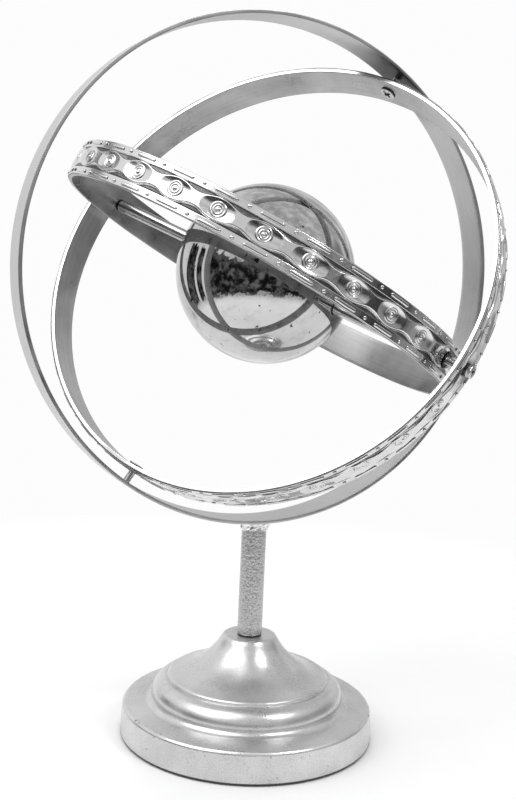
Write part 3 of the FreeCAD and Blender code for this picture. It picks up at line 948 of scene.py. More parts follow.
def drill(radius: float, reach: float, turn: float) -> bpy.types.Mesh:
    """A straight drill through the centre, lying in the plane of a ring.

    Args:
        radius: the drill's radius in millimetres.
        reach: how far it reaches each way.
        turn: its angle from the ring's X axis, in degrees.

    Returns:
        The drill's mesh.
    """
    outline = [Vector((0, -reach)), Vector((radius, -reach)), Vector((radius, reach)), Vector((0, reach))]
    mesh = turned("drill", outline, 40, closed=False)
    mesh.transform(Matrix.Rotation(math.radians(turn), 4, "Z") @ Matrix.Rotation(math.radians(90), 4, "Y"))
    return mesh


@dataclass(frozen=True)
class BarRing:
    """A ring rolled from flat bar, its corners rubbed and its line a little uneven."""

    radius: float
    width: float = 20.0
    thickness: float = 2.0
    corner: float = 0.25
    wobble: float = 0.06
    wobble_wave: float = 60
    edge_wear: float = 0.012
    edge_wave: float = 26
    face_steps: int = 9
    segments: int = 512
    seed: int = 3

    def mesh(self, name: str) -> bpy.types.Mesh:
        """The ring about its own Z axis.

        Args:
            name: the mesh's name.

        Returns:
            The mesh in metres.
        """
        bore = self.radius - self.thickness
        half = self.width / 2
        across = np.linspace(-half, half, self.face_steps)[1:-1]
        corners = [(bore, -half), (self.radius, -half)]
        corners += [(self.radius, level, 0.0) for level in across]
        corners += [(self.radius, half), (bore, half)]
        corners += [(bore, level, 0.0) for level in across[::-1]]
        section = np.array([tuple(point) for point in drawn_outline(corners, self.corner)])
        angle = np.linspace(0, 2 * math.pi, self.segments, endpoint=False)[:, None]
        points = np.stack(
            [
                section[:, 0] * np.cos(angle),
                section[:, 0] * np.sin(angle),
                np.broadcast_to(section[:, 1], (self.segments, len(section))),
            ],
            axis=-1,
        )
        line = np.broadcast_to(points.mean(axis=1, keepdims=True), points.shape)
        sunk = 0.5 + 0.25 * unevenness(line, self.wobble_wave, self.seed)
        points = points - points * np.array([1, 1, 0]) / self.radius * (sunk * self.wobble)[..., None]
        uneven = 0.5 + 0.25 * unevenness(line, self.edge_wave, self.seed + 2)
        points[..., 2] *= 1 - self.edge_wear * np.clip(uneven, 0, 2)
        return meshed_grid(name, points, True)


@dataclass(frozen=True)
class StampedStrip:
    """The sheet strip round a ring, stamped with eyes, rosettes, bars and beads."""

    ring_radius: float
    repeats: int
    shift: float
    holes: tuple[float, ...]
    seats: tuple[float, ...]
    seat_radius: float
    half_width: float = 9.85
    foot: float = 0.04
    sheet: float = 0.22
    seat_level: float = 0.55
    hole_radius: float = 2.4
    valley: float = 0.06
    crest: float = 1.3
    ribbon: float = 4.3
    ribbon_swell: float = 1.05
    eye_half_length: float = 9.3
    eye_half_width: float = 4.85
    eye_depth: float = 1.15
    eye_power: float = 2.4
    bowl_power: float = 3.2
    border_line: float = 5.6
    border_height: float = 0.5
    groove: float = 0.2
    bar_level: float = 8.05
    bar_half_length: float = 5.1
    soot_and_shade: float = 0.7
    along: int = 80
    seed: int = 11

    rosette_profile = (
        (0.0, -0.1), (4.75, -0.1), (4.6, 0.15), (4.2, 0.45), (3.9, 0.66), (3.7, 0.82), (3.45, 0.92),
        (3.15, 0.9), (2.95, 0.76), (2.8, 0.66), (2.6, 0.66), (2.4, 0.78), (2.2, 0.9), (2.0, 0.9),
        (1.8, 0.78), (1.65, 0.68), (1.25, 0.68), (1.05, 0.76), (0.9, 0.94), (0.62, 1.16), (0.3, 1.26),
        (0.0, 1.28),
    )
    bar_profile = (
        (0.0, 0.1), (1.05, 0.1), (1.02, 0.55), (0.92, 0.82), (0.78, 1.0), (0.58, 1.12), (0.3, 1.18),
        (0.0, 1.2),
    )
    bead_profile = (
        (0.0, 0.1), (1.0, 0.1), (0.98, 0.65), (0.86, 0.93), (0.62, 1.14), (0.32, 1.25), (0.0, 1.28),
    )
    # Heights where the polish starts and where it is whole: lower parts of forms and sheet are painted
    # darker, as shade with some patina.
    rosette_polish_and_shade = (0.45, 1.15)
    bar_polish_and_shade = (0.65, 1.2)
    sheet_polish_and_shade = (0.1, 0.7)

    def heights(self, angle: np.ndarray, level: np.ndarray) -> np.ndarray:
        """How far the sheet stands above the band: the ribbon of eyes between two borders.

        Args:
            angle: angles round the ring, in radians.
            level: places across the strip, in millimetres, of the same shape.

        Returns:
            Heights in millimetres.
        """
        pitch = 2 * math.pi / self.repeats
        length = self.ring_radius * pitch
        turns = (angle - math.radians(self.shift)) / pitch
        along = (turns - np.round(turns)) * length
        side = np.abs(level)
        ribbon = self.ribbon + self.ribbon_swell * np.cos(2 * math.pi * along / length)
        height = self.valley + (self.crest - self.valley) * (1 - eased_step(side - ribbon, -0.3, 0.7))
        share = np.clip(np.abs(along) / self.eye_half_length, 0, 1)
        power = self.eye_power
        oval = (share ** power + (side / self.eye_half_width) ** power) ** (1 / power)
        bowl = np.clip(1 - oval ** self.bowl_power, 0, 1) * (1 - 0.5 * share ** 2)
        height -= self.eye_depth * bowl ** 2 / (bowl + 0.08)
        border = eased_step(side, self.border_line - 0.15, self.border_line + 0.25)
        height = height * (1 - border) + self.border_height * border
        height -= self.groove * np.exp(-((side - self.border_line) / self.groove) ** 2)
        height *= 1 - 0.3 * eased_step(side, self.half_width - 0.2, self.half_width)
        return height

    def seated(
        self, height: np.ndarray, angle: np.ndarray, level: np.ndarray, under: float = 0.0
    ) -> np.ndarray:
        """The relief with its flat seats and screw holes.

        Args:
            height: the relief's heights.
            angle: angles round the ring, in radians.
            level: places across the strip.
            under: how far below a seat the relief ends there.

        Returns:
            The heights with seats pressed in and holes sunk to the band.
        """
        for places, radius, target, slope in (
            (self.seats, self.seat_radius, self.seat_level - self.sheet, 0.5),
            (self.holes, self.hole_radius, 0.02 - self.sheet + self.foot, 0.12),
        ):
            for place in places:
                turn = (angle - math.radians(place) + math.pi) % (2 * math.pi) - math.pi
                reach = np.hypot(turn * self.ring_radius, level)
                pressed = 1 - eased_step(reach, radius, radius + slope)
                height = height * (1 - pressed) + (target - under) * pressed
        return height

    def laid(self, angle: np.ndarray, level: np.ndarray, relief: np.ndarray) -> np.ndarray:
        """Points of the relief about the ring's axis, with the unevenness of worked sheet.

        Args:
            angle: angles round the ring, in radians.
            level: places across the strip.
            relief: heights above the sheet's back.

        Returns:
            Array (..., 3) in millimetres.
        """
        x, y = np.cos(angle) * self.ring_radius, np.sin(angle) * self.ring_radius
        place = np.stack([x, y, level], axis=-1)
        radius = self.ring_radius + self.sheet + relief
        radius = radius + unevenness(place, 14, self.seed) * 0.035 * np.clip(relief, 0, 1)
        line = place.copy()
        line[..., 2] = np.sign(level) * self.half_width
        sunk = 0.045 + 0.03 * unevenness(line, 30, self.seed + 1)
        sunk = sunk + 0.015 * unevenness(line, 8, self.seed + 2)
        border = np.maximum(np.abs(level) - self.border_line, 0)
        level = level - np.sign(level) * border * np.clip(sunk, 0, 1)
        return np.stack([radius * np.cos(angle), radius * np.sin(angle), level], axis=-1)

    def form(
        self, profile: tuple, half_length: float, steps: int, turn: float, level: float
    ) -> bpy.types.Mesh:
        """A raised form, closed and sunk into the sheet: round, or drawn out along the strip.

        Args:
            profile: pairs (reach from its middle line, height) from its bottom over its side to its top.
            half_length: half of the length of its middle line.
            steps: how many steps round.
            turn: the angle of its middle round the ring, in radians.
            level: the place of its middle across the strip.

        Returns:
            The form's mesh in metres.
        """
        end = np.linspace(-math.pi / 2, math.pi / 2, steps // 2 + 1)
        if half_length:
            run = np.linspace(half_length, -half_length, 7)[1:-1]
            along_top, along_bottom = np.full(run.size, math.pi / 2), np.full(run.size, -math.pi / 2)
            way = np.concatenate([end, along_top, end + math.pi, along_bottom])
            first_end, last_end = np.full(end.size, half_length), np.full(end.size, -half_length)
            middle = np.concatenate([first_end, run, last_end, run[::-1]])
        else:
            way = np.linspace(0, 2 * math.pi, steps, endpoint=False)
            middle = np.zeros(steps)
        reach, height = np.array(profile).T
        angle = turn + (middle[:, None] + np.cos(way)[:, None] * reach) / self.ring_radius
        across = level + np.sin(way)[:, None] * reach
        relief = self.seated(np.broadcast_to(height, angle.shape), angle, across, 0.15)
        return meshed_grid("form", self.laid(angle, across, relief), False)

    def forms(self) -> list[tuple[bpy.types.Mesh, tuple[float, float]]]:
        """The rosettes, bars and beads, apart from those that a seat or a hole takes away.

        Returns:
            Each with the heights where its polish starts and where it is whole; below, it is painted in
            shade.
        """
        pitch = 2 * math.pi / self.repeats
        found = []
        for index in range(self.repeats):
            turn = math.radians(self.shift) + pitch * index
            for place in self.seats + self.holes:
                away = (turn - math.radians(place) + math.pi) % (2 * math.pi) - math.pi
                if abs(away) * self.ring_radius < self.hole_radius:
                    break
            else:
                found.append((self.form(self.rosette_profile, 0.0, 40, turn, 0.0), self.rosette_polish_and_shade))
            for level in (-self.bar_level, self.bar_level):
                bar = self.form(self.bar_profile, self.bar_half_length, 14, turn, level)
                bead = self.form(self.bead_profile, 0.0, 16, turn + pitch / 2, level)
                found += [(bar, self.bar_polish_and_shade), (bead, self.bar_polish_and_shade)]
        return found

    def polish_and_shade(self, mesh: bpy.types.Mesh, low: float, high: float) -> np.ndarray:
        """How bright each point is painted: darker in the hollows and round the pivots, as painted shade
        with some patina and soot.

        Args:
            mesh: a part of the strip.
            low: the height where the polish starts.
            high: the height where it is whole.

        Returns:
            A number for each point, below 0 in the darkest places.
        """
        places = points_of(mesh)
        height = np.hypot(places[:, 0], places[:, 1]) - self.ring_radius - self.sheet
        share = (height - low) / (high - low)
        angle = np.arctan2(places[:, 1], places[:, 0])
        for place in self.holes:
            turn = (angle - math.radians(place) + math.pi) % (2 * math.pi) - math.pi
            reach = np.hypot(turn * self.ring_radius, places[:, 2])
            # Painted shade round the pivot holes, partly soot as well.
            share -= self.soot_and_shade * (1 - eased_step(reach, 3.5, 11.0))
        return np.clip(share, -1, 1)

    def mesh(self, name: str) -> bpy.types.Mesh:
        """The strip about its ring's own Z axis, with its polish and painted shade kept as an attribute.

        Args:
            name: the mesh's name.

        Returns:
            The mesh in metres.
        """
        angle = np.linspace(0, 2 * math.pi, self.repeats * self.along, endpoint=False)[:, None]
        ribbon, border, rest = np.arange(0, 5.1, 0.3), np.linspace(5.1, 6.3, 10), np.linspace(6.9, 9.3, 4)
        half = np.concatenate([ribbon, border, rest, (9.5, 9.65, 9.77), (self.half_width,)])
        level = np.concatenate([-half[:0:-1], half])[None, :]
        angle, level = np.broadcast_arrays(angle, level)
        relief = self.seated(self.heights(angle, level), angle, level)
        top = self.laid(angle, level, relief)
        foot_radius = self.ring_radius + self.foot
        low, high = top[:, :1].copy(), top[:, -1:].copy()
        for edge, column in ((low, 0), (high, -1)):
            edge[..., 0] = foot_radius * np.cos(angle[:, column, None])
            edge[..., 1] = foot_radius * np.sin(angle[:, column, None])
        joined = bmesh.new()
        polish_and_shade = []
        sheet = meshed_grid(name, np.concatenate([low, top, high], axis=1), True)
        for part, polish_and_shade_range in [(sheet, self.sheet_polish_and_shade), *self.forms()]:
            joined.from_mesh(part)
            polish_and_shade.append(self.polish_and_shade(part, *polish_and_shade_range))
            bpy.data.meshes.remove(part)
        mesh = bpy.data.meshes.new(name)
        joined.to_mesh(mesh)
        joined.free()
        keep_numbers(mesh, "relief", np.concatenate(polish_and_shade))
        return mesh


@dataclass(frozen=True)
class CrossScrew:
    """A pan-head machine screw with a cross recess and a rolled thread, along its own Z."""

    head_radius: float
    head_height: float = 2.2
    crown: float = 0.7
    shank: float = 1.98
    pitch: float = 0.7
    thread_depth: float = 0.26
    thread_segments: int = 28
    head_segments: int = 72
    recess_width: float = 1.2
    recess_depth: float = 1.3
    recess_share: float = 0.56

    def head(self, foot: float, way: int) -> bpy.types.Mesh:
        """The head, standing on its foot level.

        Args:
            foot: the level of its bearing face.
            way: 1 where the head is above its foot, -1 where it is below.

        Returns:
            The head's mesh.
        """
        radius = self.head_radius
        dome = []
        for share in (0, 0.2, 0.4, 0.6, 0.75, 0.88, 0.96, 1.0):
            sunk = self.crown * (1 - math.sqrt(max(1 - (share * 0.96) ** 2, 0)))
            dome.append(Vector((radius * share, self.head_height - sunk)))
        rim = [Vector((radius, 0.35)), Vector((radius - 0.18, 0.08)), Vector((radius - 0.4, 0.0))]
        outline = dome + rim + [Vector((self.shank * 0.8, 0.0)), Vector((0.0, 0.0))]
        head = turned("screw_head", outline, self.head_segments, closed=False)
        recess = self.recess()
        recess.transform(Matrix.Translation((0, 0, (self.head_height - self.recess_depth) * MM)))
        cut = Workshop.hollowed(head, [recess])
        cut.transform(Matrix.Translation((0, 0, foot * MM)) @ Matrix.Scale(way, 4, (0, 0, 1)))
        if way < 0:
            cut.flip_normals()
        return cut

    def recess(self) -> bpy.types.Mesh:
        """The tool that cuts the cross recess: wide at the face and narrow at its bottom.

        Returns:
            The tool's mesh.
        """
        near = self.recess_width / 2
        reach = self.head_radius * self.recess_share
        quarter = [(reach, -near), (reach, near), (near * 1.25, near * 1.25)]
        corners = []
        for turn in range(4):
            spin = Matrix.Rotation(math.radians(90 * turn), 2)
            corners += [spin @ Vector(corner) for corner in quarter]
        shaped = bmesh.new()
        loops = []
        for height, scale in ((0.0, 0.62), (self.recess_depth + 0.6, 1.12)):
            places = [(c.x * scale * MM, c.y * scale * MM, height * MM) for c in corners]
            loops.append([shaped.verts.new(place) for place in places])
        count = len(corners)
        for index in range(count):
            after = (index + 1) % count
            shaped.faces.new((loops[0][index], loops[0][after], loops[1][after], loops[1][index]))
        for loop in loops:
            shaped.faces.new(loop)
        bmesh.ops.triangulate(shaped, faces=[face for face in shaped.faces if len(face.verts) > 4])
        bmesh.ops.recalc_face_normals(shaped, faces=shaped.faces)
        mesh = bpy.data.meshes.new("recess")
        shaped.to_mesh(mesh)
        shaped.free()
        return mesh

    def thread(self, low: float, high: float) -> bpy.types.Mesh:
        """The threaded shank between two levels.

        Args:
            low: its lower end.
            high: its upper end.

        Returns:
            The shank's mesh.
        """
        steps = max(int((high - low) / self.pitch * 6), 8)
        level = np.linspace(low, high, steps)[None, :]
        angle = np.linspace(0, 2 * math.pi, self.thread_segments, endpoint=False)[:, None]
        turns = level / self.pitch - angle / (2 * math.pi)
        groove = np.abs((turns % 1.0) - 0.5) * 2
        ends = np.minimum(level - low, high - level) / 0.5
        radius = self.shank - self.thread_depth * eased_step(groove, 0.35, 0.95)
        radius = radius * (0.8 + 0.2 * np.clip(ends, 0, 1))
        level = np.broadcast_to(level, radius.shape)
        points = np.stack([radius * np.cos(angle), radius * np.sin(angle), level], axis=-1)
        axis = np.zeros((self.thread_segments, 1, 3))
        first, last = axis.copy(), axis.copy()
        first[..., 2] = low
        last[..., 2] = high
        return meshed_grid("screw_thread", np.concatenate([first, points, last], axis=1), False)

    def mesh(self, name: str, foot: float, tip: float, way: int) -> bpy.types.Mesh:
        """The whole screw.

        Args:
            name: the mesh's name.
            foot: the level of the head's bearing face.
            tip: the level of the far end.
            way: 1 where the head is above its foot, -1 where it is below.

        Returns:
            The mesh in metres.
        """
        inside = foot + 0.3 * way
        parts = [self.head(foot, way), self.thread(min(inside, tip), max(inside, tip))]
        joined = bmesh.new()
        for part in parts:
            joined.from_mesh(part)
        mesh = bpy.data.meshes.new(name)
        joined.to_mesh(mesh)
        joined.free()
        # Painted shade inside the cross recess, kept for the finish.
        places = points_of(mesh)
        out = np.hypot(places[:, 0], places[:, 1])
        above = (places[:, 2] - foot) * way
        sunk = np.sqrt(np.clip(1 - (out / self.head_radius * 0.96) ** 2, 0, 1))
        below_face = self.head_height - self.crown * (1 - sunk) - above
        in_recess = (out < self.head_radius * 0.75) & (above > self.head_height - self.recess_depth - 0.05)
        shade_and_grime = np.where(in_recess, np.clip(below_face / self.recess_depth * 2.5, 0, 1), 0)
        keep_numbers(mesh, "shade_and_grime", shade_and_grime)
        return mesh


def washer(
    name: str, bore: float, radius: float, low: float, high: float, corner: float = 0.15
) -> bpy.types.Mesh:
    """A round washer or bush on its own Z axis.

    Args:
        name: the mesh's name.
        bore: inner radius.
        radius: outer radius.
        low: level of its lower face.
        high: level of its upper face.
        corner: how far its corners are eased.

    Returns:
        The mesh in metres.
    """
    corners = [(bore, low), (radius, low), (radius, high), (bore, high)]
    return turned(name, drawn_outline(corners, corner), 72)


@dataclass(frozen=True)
class StarWasher:
    """A toothed lock washer, each tooth twisted out of the plane."""

    bore: float = 2.0
    body: float = 3.4
    reach: float = 4.3
    thickness: float = 0.6
    teeth: int = 12
    twist: float = 0.16

    def mesh(self, name: str, foot: float) -> bpy.types.Mesh:
        """The washer, standing on its foot level.

        Args:
            name: the mesh's name.
            foot: the level that it lies on.

        Returns:
            The mesh in metres.
        """
        steps = self.teeth * 10
        angle = np.linspace(0, 2 * math.pi, steps, endpoint=False)[:, None]
        phase = (angle * self.teeth / (2 * math.pi)) % 1.0 - 0.5
        tooth = 1 - eased_step(np.abs(phase), 0.2, 0.33)
        edge = self.body - 0.25 + (self.reach - self.body + 0.2) * tooth
        lean = phase * 2 * self.twist * tooth
        half = self.thickness / 2
        section = [
            (self.bore, -half + 0.05, 0), (self.body - 0.4, -half + 0.05, 0), (None, -half + 0.12, 1),
            (None, half - 0.12, 1), (self.body - 0.4, half - 0.05, 0), (self.bore, half - 0.05, 0),
        ]
        columns = []
        for radius, height, leaning in section:
            reach = edge if radius is None else np.full_like(edge, radius)
            level = foot + half + height + lean * leaning
            columns.append(np.concatenate([reach * np.cos(angle), reach * np.sin(angle), level], axis=1))
        return meshed_grid(name, np.stack(columns, axis=1), True)


class StandAssembly:
    """Base, column, weld and outer ring, with the screws that carry the middle ring."""

    column_radius = 7.0
    column_wall = 1.5
    column_foot = 57.0
    column_segments = 112
    column_steps = 130
    rod_hole = 4.25
    weld_foot = 117.2
    weld_radius = 9.6
    weld_segments = 96
    weld_steps = 26
    shade_and_grime_share = 0.6
    outer_ring = BarRing(137.5, seed=5)
    outer_screw = CrossScrew(
        4.2, head_height=1.1, crown=0.5, recess_width=1.7, recess_depth=0.75, recess_share=0.82
    )
    washer_levels = (125.8733, 126.1733)
    screw_tip = 137.4

    def __init__(self, workshop: Workshop) -> None:
        """Keep the workshop that fits the pieces."""
        self.workshop = workshop

    def under_ring(self, across: np.ndarray) -> np.ndarray:
        """The height of the outer ring's underside above the floor, for a place across it."""
        return RING_CENTRE.z / MM - np.sqrt(self.outer_ring.radius ** 2 - across ** 2)

    def build_base(self) -> None:
        """The spun cover: foot, rim, step, cove, bowl, bead, bell and neck, and its inside."""
        hole = self.rod_hole
        corners = [
            (71.4, 0.6, 0.3), (70.6, 16.4, 0.7), (69.3, 17.7, 0.7), (58.3, 18.9, 0.35, Arc(-5)),
            (54.2, 21.5, 0.0, Arc(9.5)), (46.6, 31.8, 0.25), (45.6, 31.8, 0.3), (45.6, 33.2, 0.5),
            (44.4, 34.2, 0.5, Arc(-42)), (16.3, 54.5, 0.6), (14.6, 57, 0.9), (hole, 57, 0.1),
            (hole, 55.8, 0.1), (13.4, 55.8, 0.4), (15.1, 53.9, 0.4, Arc(43.2)), (43.2, 33.0, 0.4),
            (44.4, 30.6, 0.0, Arc(-8.3)), (53, 21.5, 0.3), (57.1, 17.7, 0.4), (69.4, 16.5, 0.4),
            (70.2, 0.6, 0.2),
        ]
        mesh = turned("base_cover", drawn_outline(corners, 0.3, steps=18), 256)
        place = Stance.FLOOR.matrix()
        self.workshop.fit("base_cover_spun", mesh, place, Body.STAND, Slot.BASE_SILVER, "base_cover")

    def build_column(self) -> None:
        """The scaled tube, coped to the ring."""
        bore = self.column_radius - self.column_wall
        angle = np.linspace(0, 2 * math.pi, self.column_segments, endpoint=False)[:, None]
        share = np.linspace(0, 1, self.column_steps)[None, :]
        walls = []
        for radius, shares in ((self.column_radius, share), (bore, share[:, ::-1])):
            x = np.broadcast_to(radius * np.cos(angle), (self.column_segments, self.column_steps))
            y = np.broadcast_to(radius * np.sin(angle), (self.column_segments, self.column_steps))
            top = self.under_ring(x)
            level = self.column_foot + (top - self.column_foot) * shares
            walls.append(np.stack([x, y, level], axis=-1))
        outer = walls[0]
        bumps = unevenness(outer, 1.7, 21) * 0.025 + unevenness(outer, 0.9, 22) * 0.012 - 0.03
        bumps -= 0.25 * (1 - eased_step(outer[..., 2] - self.column_foot, 0.4, 0.7))
        outer = outer + outer * np.array([1, 1, 0]) / self.column_radius * bumps[..., None]
        mesh = meshed_grid("column", np.concatenate([outer, walls[1]], axis=1), True)
        place = Stance.FLOOR.matrix()
        self.workshop.fit("column_tube", mesh, place, Body.STAND, Slot.COLUMN_SILVER, "column")

    def build_weld(self) -> None:
        """The crude bead between column and ring."""
        share = np.linspace(0, 1, self.weld_steps)[None, :]
        angle = np.linspace(0, 2 * math.pi, self.weld_segments, endpoint=False)[:, None]
        spread = 1.9 + 0.7 * np.cos(angle * 2) + 0.25 * np.sin(angle * 5 + 1)
        lip = 0.8 * eased_step(share, 0.0, 0.1)
        radius = self.column_radius - 0.15 + lip + np.clip(spread - 0.6, 0.4, 2.0) * share
        x, y = radius * np.cos(angle), radius * np.sin(angle)
        drip = 0.7 * np.sin(angle * 3 + 0.6) + 0.5 * np.sin(angle * 7)
        level = (self.weld_foot + 0.7 + drip * 0.7) * (1 - share) + self.under_ring(x) * share
        skin = np.stack([x, y, level], axis=-1)
        lumps = unevenness(skin, 4.2, 31) * 0.55 + unevenness(skin, 1.7, 32) * 0.16 - 0.25
        lumps = lumps * np.sin(share * math.pi)
        skin = skin + skin * np.array([1, 1, 0]) / self.weld_radius * lumps[..., None]
        inner = skin[:, ::-1].copy()[:, ::6]
        inner[..., 0] = (self.column_radius - 0.5) * np.cos(angle)
        inner[..., 1] = (self.column_radius - 0.5) * np.sin(angle)
        mesh = meshed_grid("column_weld", np.concatenate([skin, inner], axis=1), True)
        place = Stance.FLOOR.matrix()
        self.workshop.fit("column_weld_bead", mesh, place, Body.STAND, Slot.WELD_BEAD, "column_weld")

    def build_ring(self) -> None:
        """The outer ring, tapped for its two screws."""
        drills = [drill(TAPPED_RADIUS, DRILL_REACH, 0)]
        mesh = Workshop.hollowed(self.outer_ring.mesh("outer_ring"), drills)
        # Painted shade on the ring's inner face round the pivots, partly grime as well.
        places = points_of(mesh)
        out = np.hypot(places[:, 0], places[:, 1])
        away = np.abs(np.arctan2(places[:, 1], places[:, 0])) * self.outer_ring.radius
        inside = out < self.outer_ring.radius - self.outer_ring.thickness + 0.3
        near = 1 - eased_step(away, 5, 40)
        keep_numbers(mesh, "shade_and_grime", np.where(inside, self.shade_and_grime_share * near, 0))
        place = Stance.OUTER.matrix()
        self.workshop.fit("outer_ring_bar", mesh, place, Body.STAND, Slot.RING_SATIN, "outer_ring")

    def build_pivots(self) -> None:
        """The outer screws with their heads inside the middle ring, and their black washers."""
        for name, side in (("upper", 1), ("lower", -1)):
            place = Stance.OUTER.along_pivot(side)
            mesh = self.outer_screw.mesh("outer_screw_" + name, self.washer_levels[0], self.screw_tip, -1)
            node = "outer_pivot_screw_" + name
            self.workshop.fit(node + "_turned", mesh, place, Body.STAND, Slot.SCREW_NICKEL, node)
            node = "outer_pivot_washer_" + name
            mesh = washer(node, 2.0, 4.4, *self.washer_levels, 0.08)
            self.workshop.fit(node + "_black", mesh, place, Body.STAND, Slot.BLACK_NYLON, node)

    def dress_inside(self) -> None:
        """The pieces in and under the base that keep their CAD shape."""
        for node, slot in (
            ("base_weight", Slot.CAST_IRON),
            ("base_felt", Slot.FELT_PAD),
            ("tie_rod", Slot.ZINC_STEEL),
            ("rod_nut", Slot.ZINC_STEEL),
            ("rod_lock_washer", Slot.ZINC_STEEL),
            ("rod_washer", Slot.ZINC_STEEL),
            ("column_insert", Slot.ZINC_STEEL),
        ):
            self.workshop.finishes.dress_node(node, slot)

    def build(self) -> None:
        """Every piece of the stand."""
        self.build_base()
        self.build_column()
        self.build_weld()
        self.build_ring()
        self.build_pivots()
        self.dress_inside()


class MiddleRing:
    """The ring that the outer screws carry, with its stamped strip."""

    band = BarRing(128.3, seed=41)
    strip = StampedStrip(128.3, 34, 90.4, (0, 180, 90, 270), (90, 270), 3.8, soot_and_shade=0.35, seed=51)

    def __init__(self, workshop: Workshop) -> None:
        """Keep the workshop that fits the pieces."""
        self.workshop = workshop

    def build(self) -> None:
        """The band with its four running holes, and the strip."""
        place = Stance.MIDDLE.matrix()
        body = Body.MIDDLE_RING
        drills = [drill(RUNNING_RADIUS, DRILL_REACH, turn) for turn in (0, 90)]
        mesh = Workshop.hollowed(self.band.mesh("middle_band"), drills)
        # Flag the middle band for the painted edge highlight; the inner band, without the flag, is painted
        # in shade.
        keep_numbers(mesh, "rubbed_and_highlit", np.ones(len(mesh.vertices)))
        self.workshop.fit("middle_band_bar", mesh, place, body, Slot.BAND_SATIN, "middle_band")
        mesh = self.strip.mesh("middle_strip")
        self.workshop.fit("middle_strip_stamped", mesh, place, body, Slot.EMBOSSED_NICKEL, "middle_strip")


class InnerRing:
    """The ring that holds the axle, its strip, and the screws that it turns on."""

    band = BarRing(116.7, seed=61)
    strip = StampedStrip(116.7, 31, -3.1, (0, 180), (0, 180), 4.7, seed=71)
    screw = CrossScrew(3.5, head_height=2.9, recess_width=1.35, recess_depth=1.7, recess_share=0.62)
    star = StarWasher()
    star_foot = 117.25
    washer_levels = (128.9, 130.5)
    axle_radius = 3.5
    axle_end = 114.6466
    thread_reach = 13.0
    tap_radius = 2.0
    tap_gap = 3.0

    def __init__(self, workshop: Workshop) -> None:
        """Keep the workshop that fits the pieces."""
        self.workshop = workshop

    def build_axle(self) -> None:
        """The bright bar through the ball, tapped at both ends."""
        tapped = self.axle_end - self.thread_reach - self.tap_gap
        half = [
            (0, tapped, 0.0), (self.tap_radius, tapped), (self.tap_radius, self.axle_end, 0.1),
            (self.axle_radius, self.axle_end, 0.2), (self.axle_radius, self.axle_end - 0.6, 0.0),
            (self.axle_radius, self.axle_end - 1.2, 0.0),
        ]
        corners = half + [(corner[0], -corner[1], *corner[2:]) for corner in reversed(half)]
        mesh = turned("axle", drawn_outline(corners, 0.2, closed=False), 72, closed=False)
        # Painted contact shadow at the axle's ends, where it meets the inner band.
        levels = np.abs(points_of(mesh)[:, 2])
        keep_numbers(mesh, "shade_and_grime", eased_step(levels, self.axle_end - 1.2, self.axle_end - 0.6))
        place = Stance.INNER.along_pivot(1)
        self.workshop.fit("axle_bar", mesh, place, Body.INNER_RING, Slot.AXLE_STEEL, "axle")

    def build_pivots(self) -> None:
        """The inner screws with the stack of washers on each."""
        body = Body.INNER_RING
        for name, side in (("right", 1), ("left", -1)):
            place = Stance.INNER.along_pivot(side)
            node = "inner_pivot_screw_" + name
            mesh = self.screw.mesh(node, self.washer_levels[1], self.axle_end - self.thread_reach, 1)
            self.workshop.fit(node + "_turned", mesh, place, body, Slot.SCREW_NICKEL, node)
            node = "inner_pivot_washer_" + name
            mesh = washer(node, 2.0, 3.4, *self.washer_levels, 0.25)
            self.workshop.fit(node + "_black", mesh, place, body, Slot.BLACK_NYLON, node)
            node = "star_washer_" + name
            mesh = self.star.mesh(node, self.star_foot)
            self.workshop.fit(node + "_toothed", mesh, place, body, Slot.BLACK_STEEL, node)

    def build(self) -> None:
        """Every piece of the inner ring."""
        place = Stance.INNER.matrix()
        body = Body.INNER_RING
        drills = [drill(RUNNING_RADIUS, DRILL_REACH, 0)]
        mesh = Workshop.hollowed(self.band.mesh("inner_band"), drills)
        self.workshop.fit("inner_band_bar", mesh, place, body, Slot.BAND_SATIN, "inner_band")
        mesh = self.strip.mesh("inner_strip")
        self.workshop.fit("inner_strip_stamped", mesh, place, body, Slot.EMBOSSED_NICKEL, "inner_strip")
        self.build_axle()
        self.build_pivots()


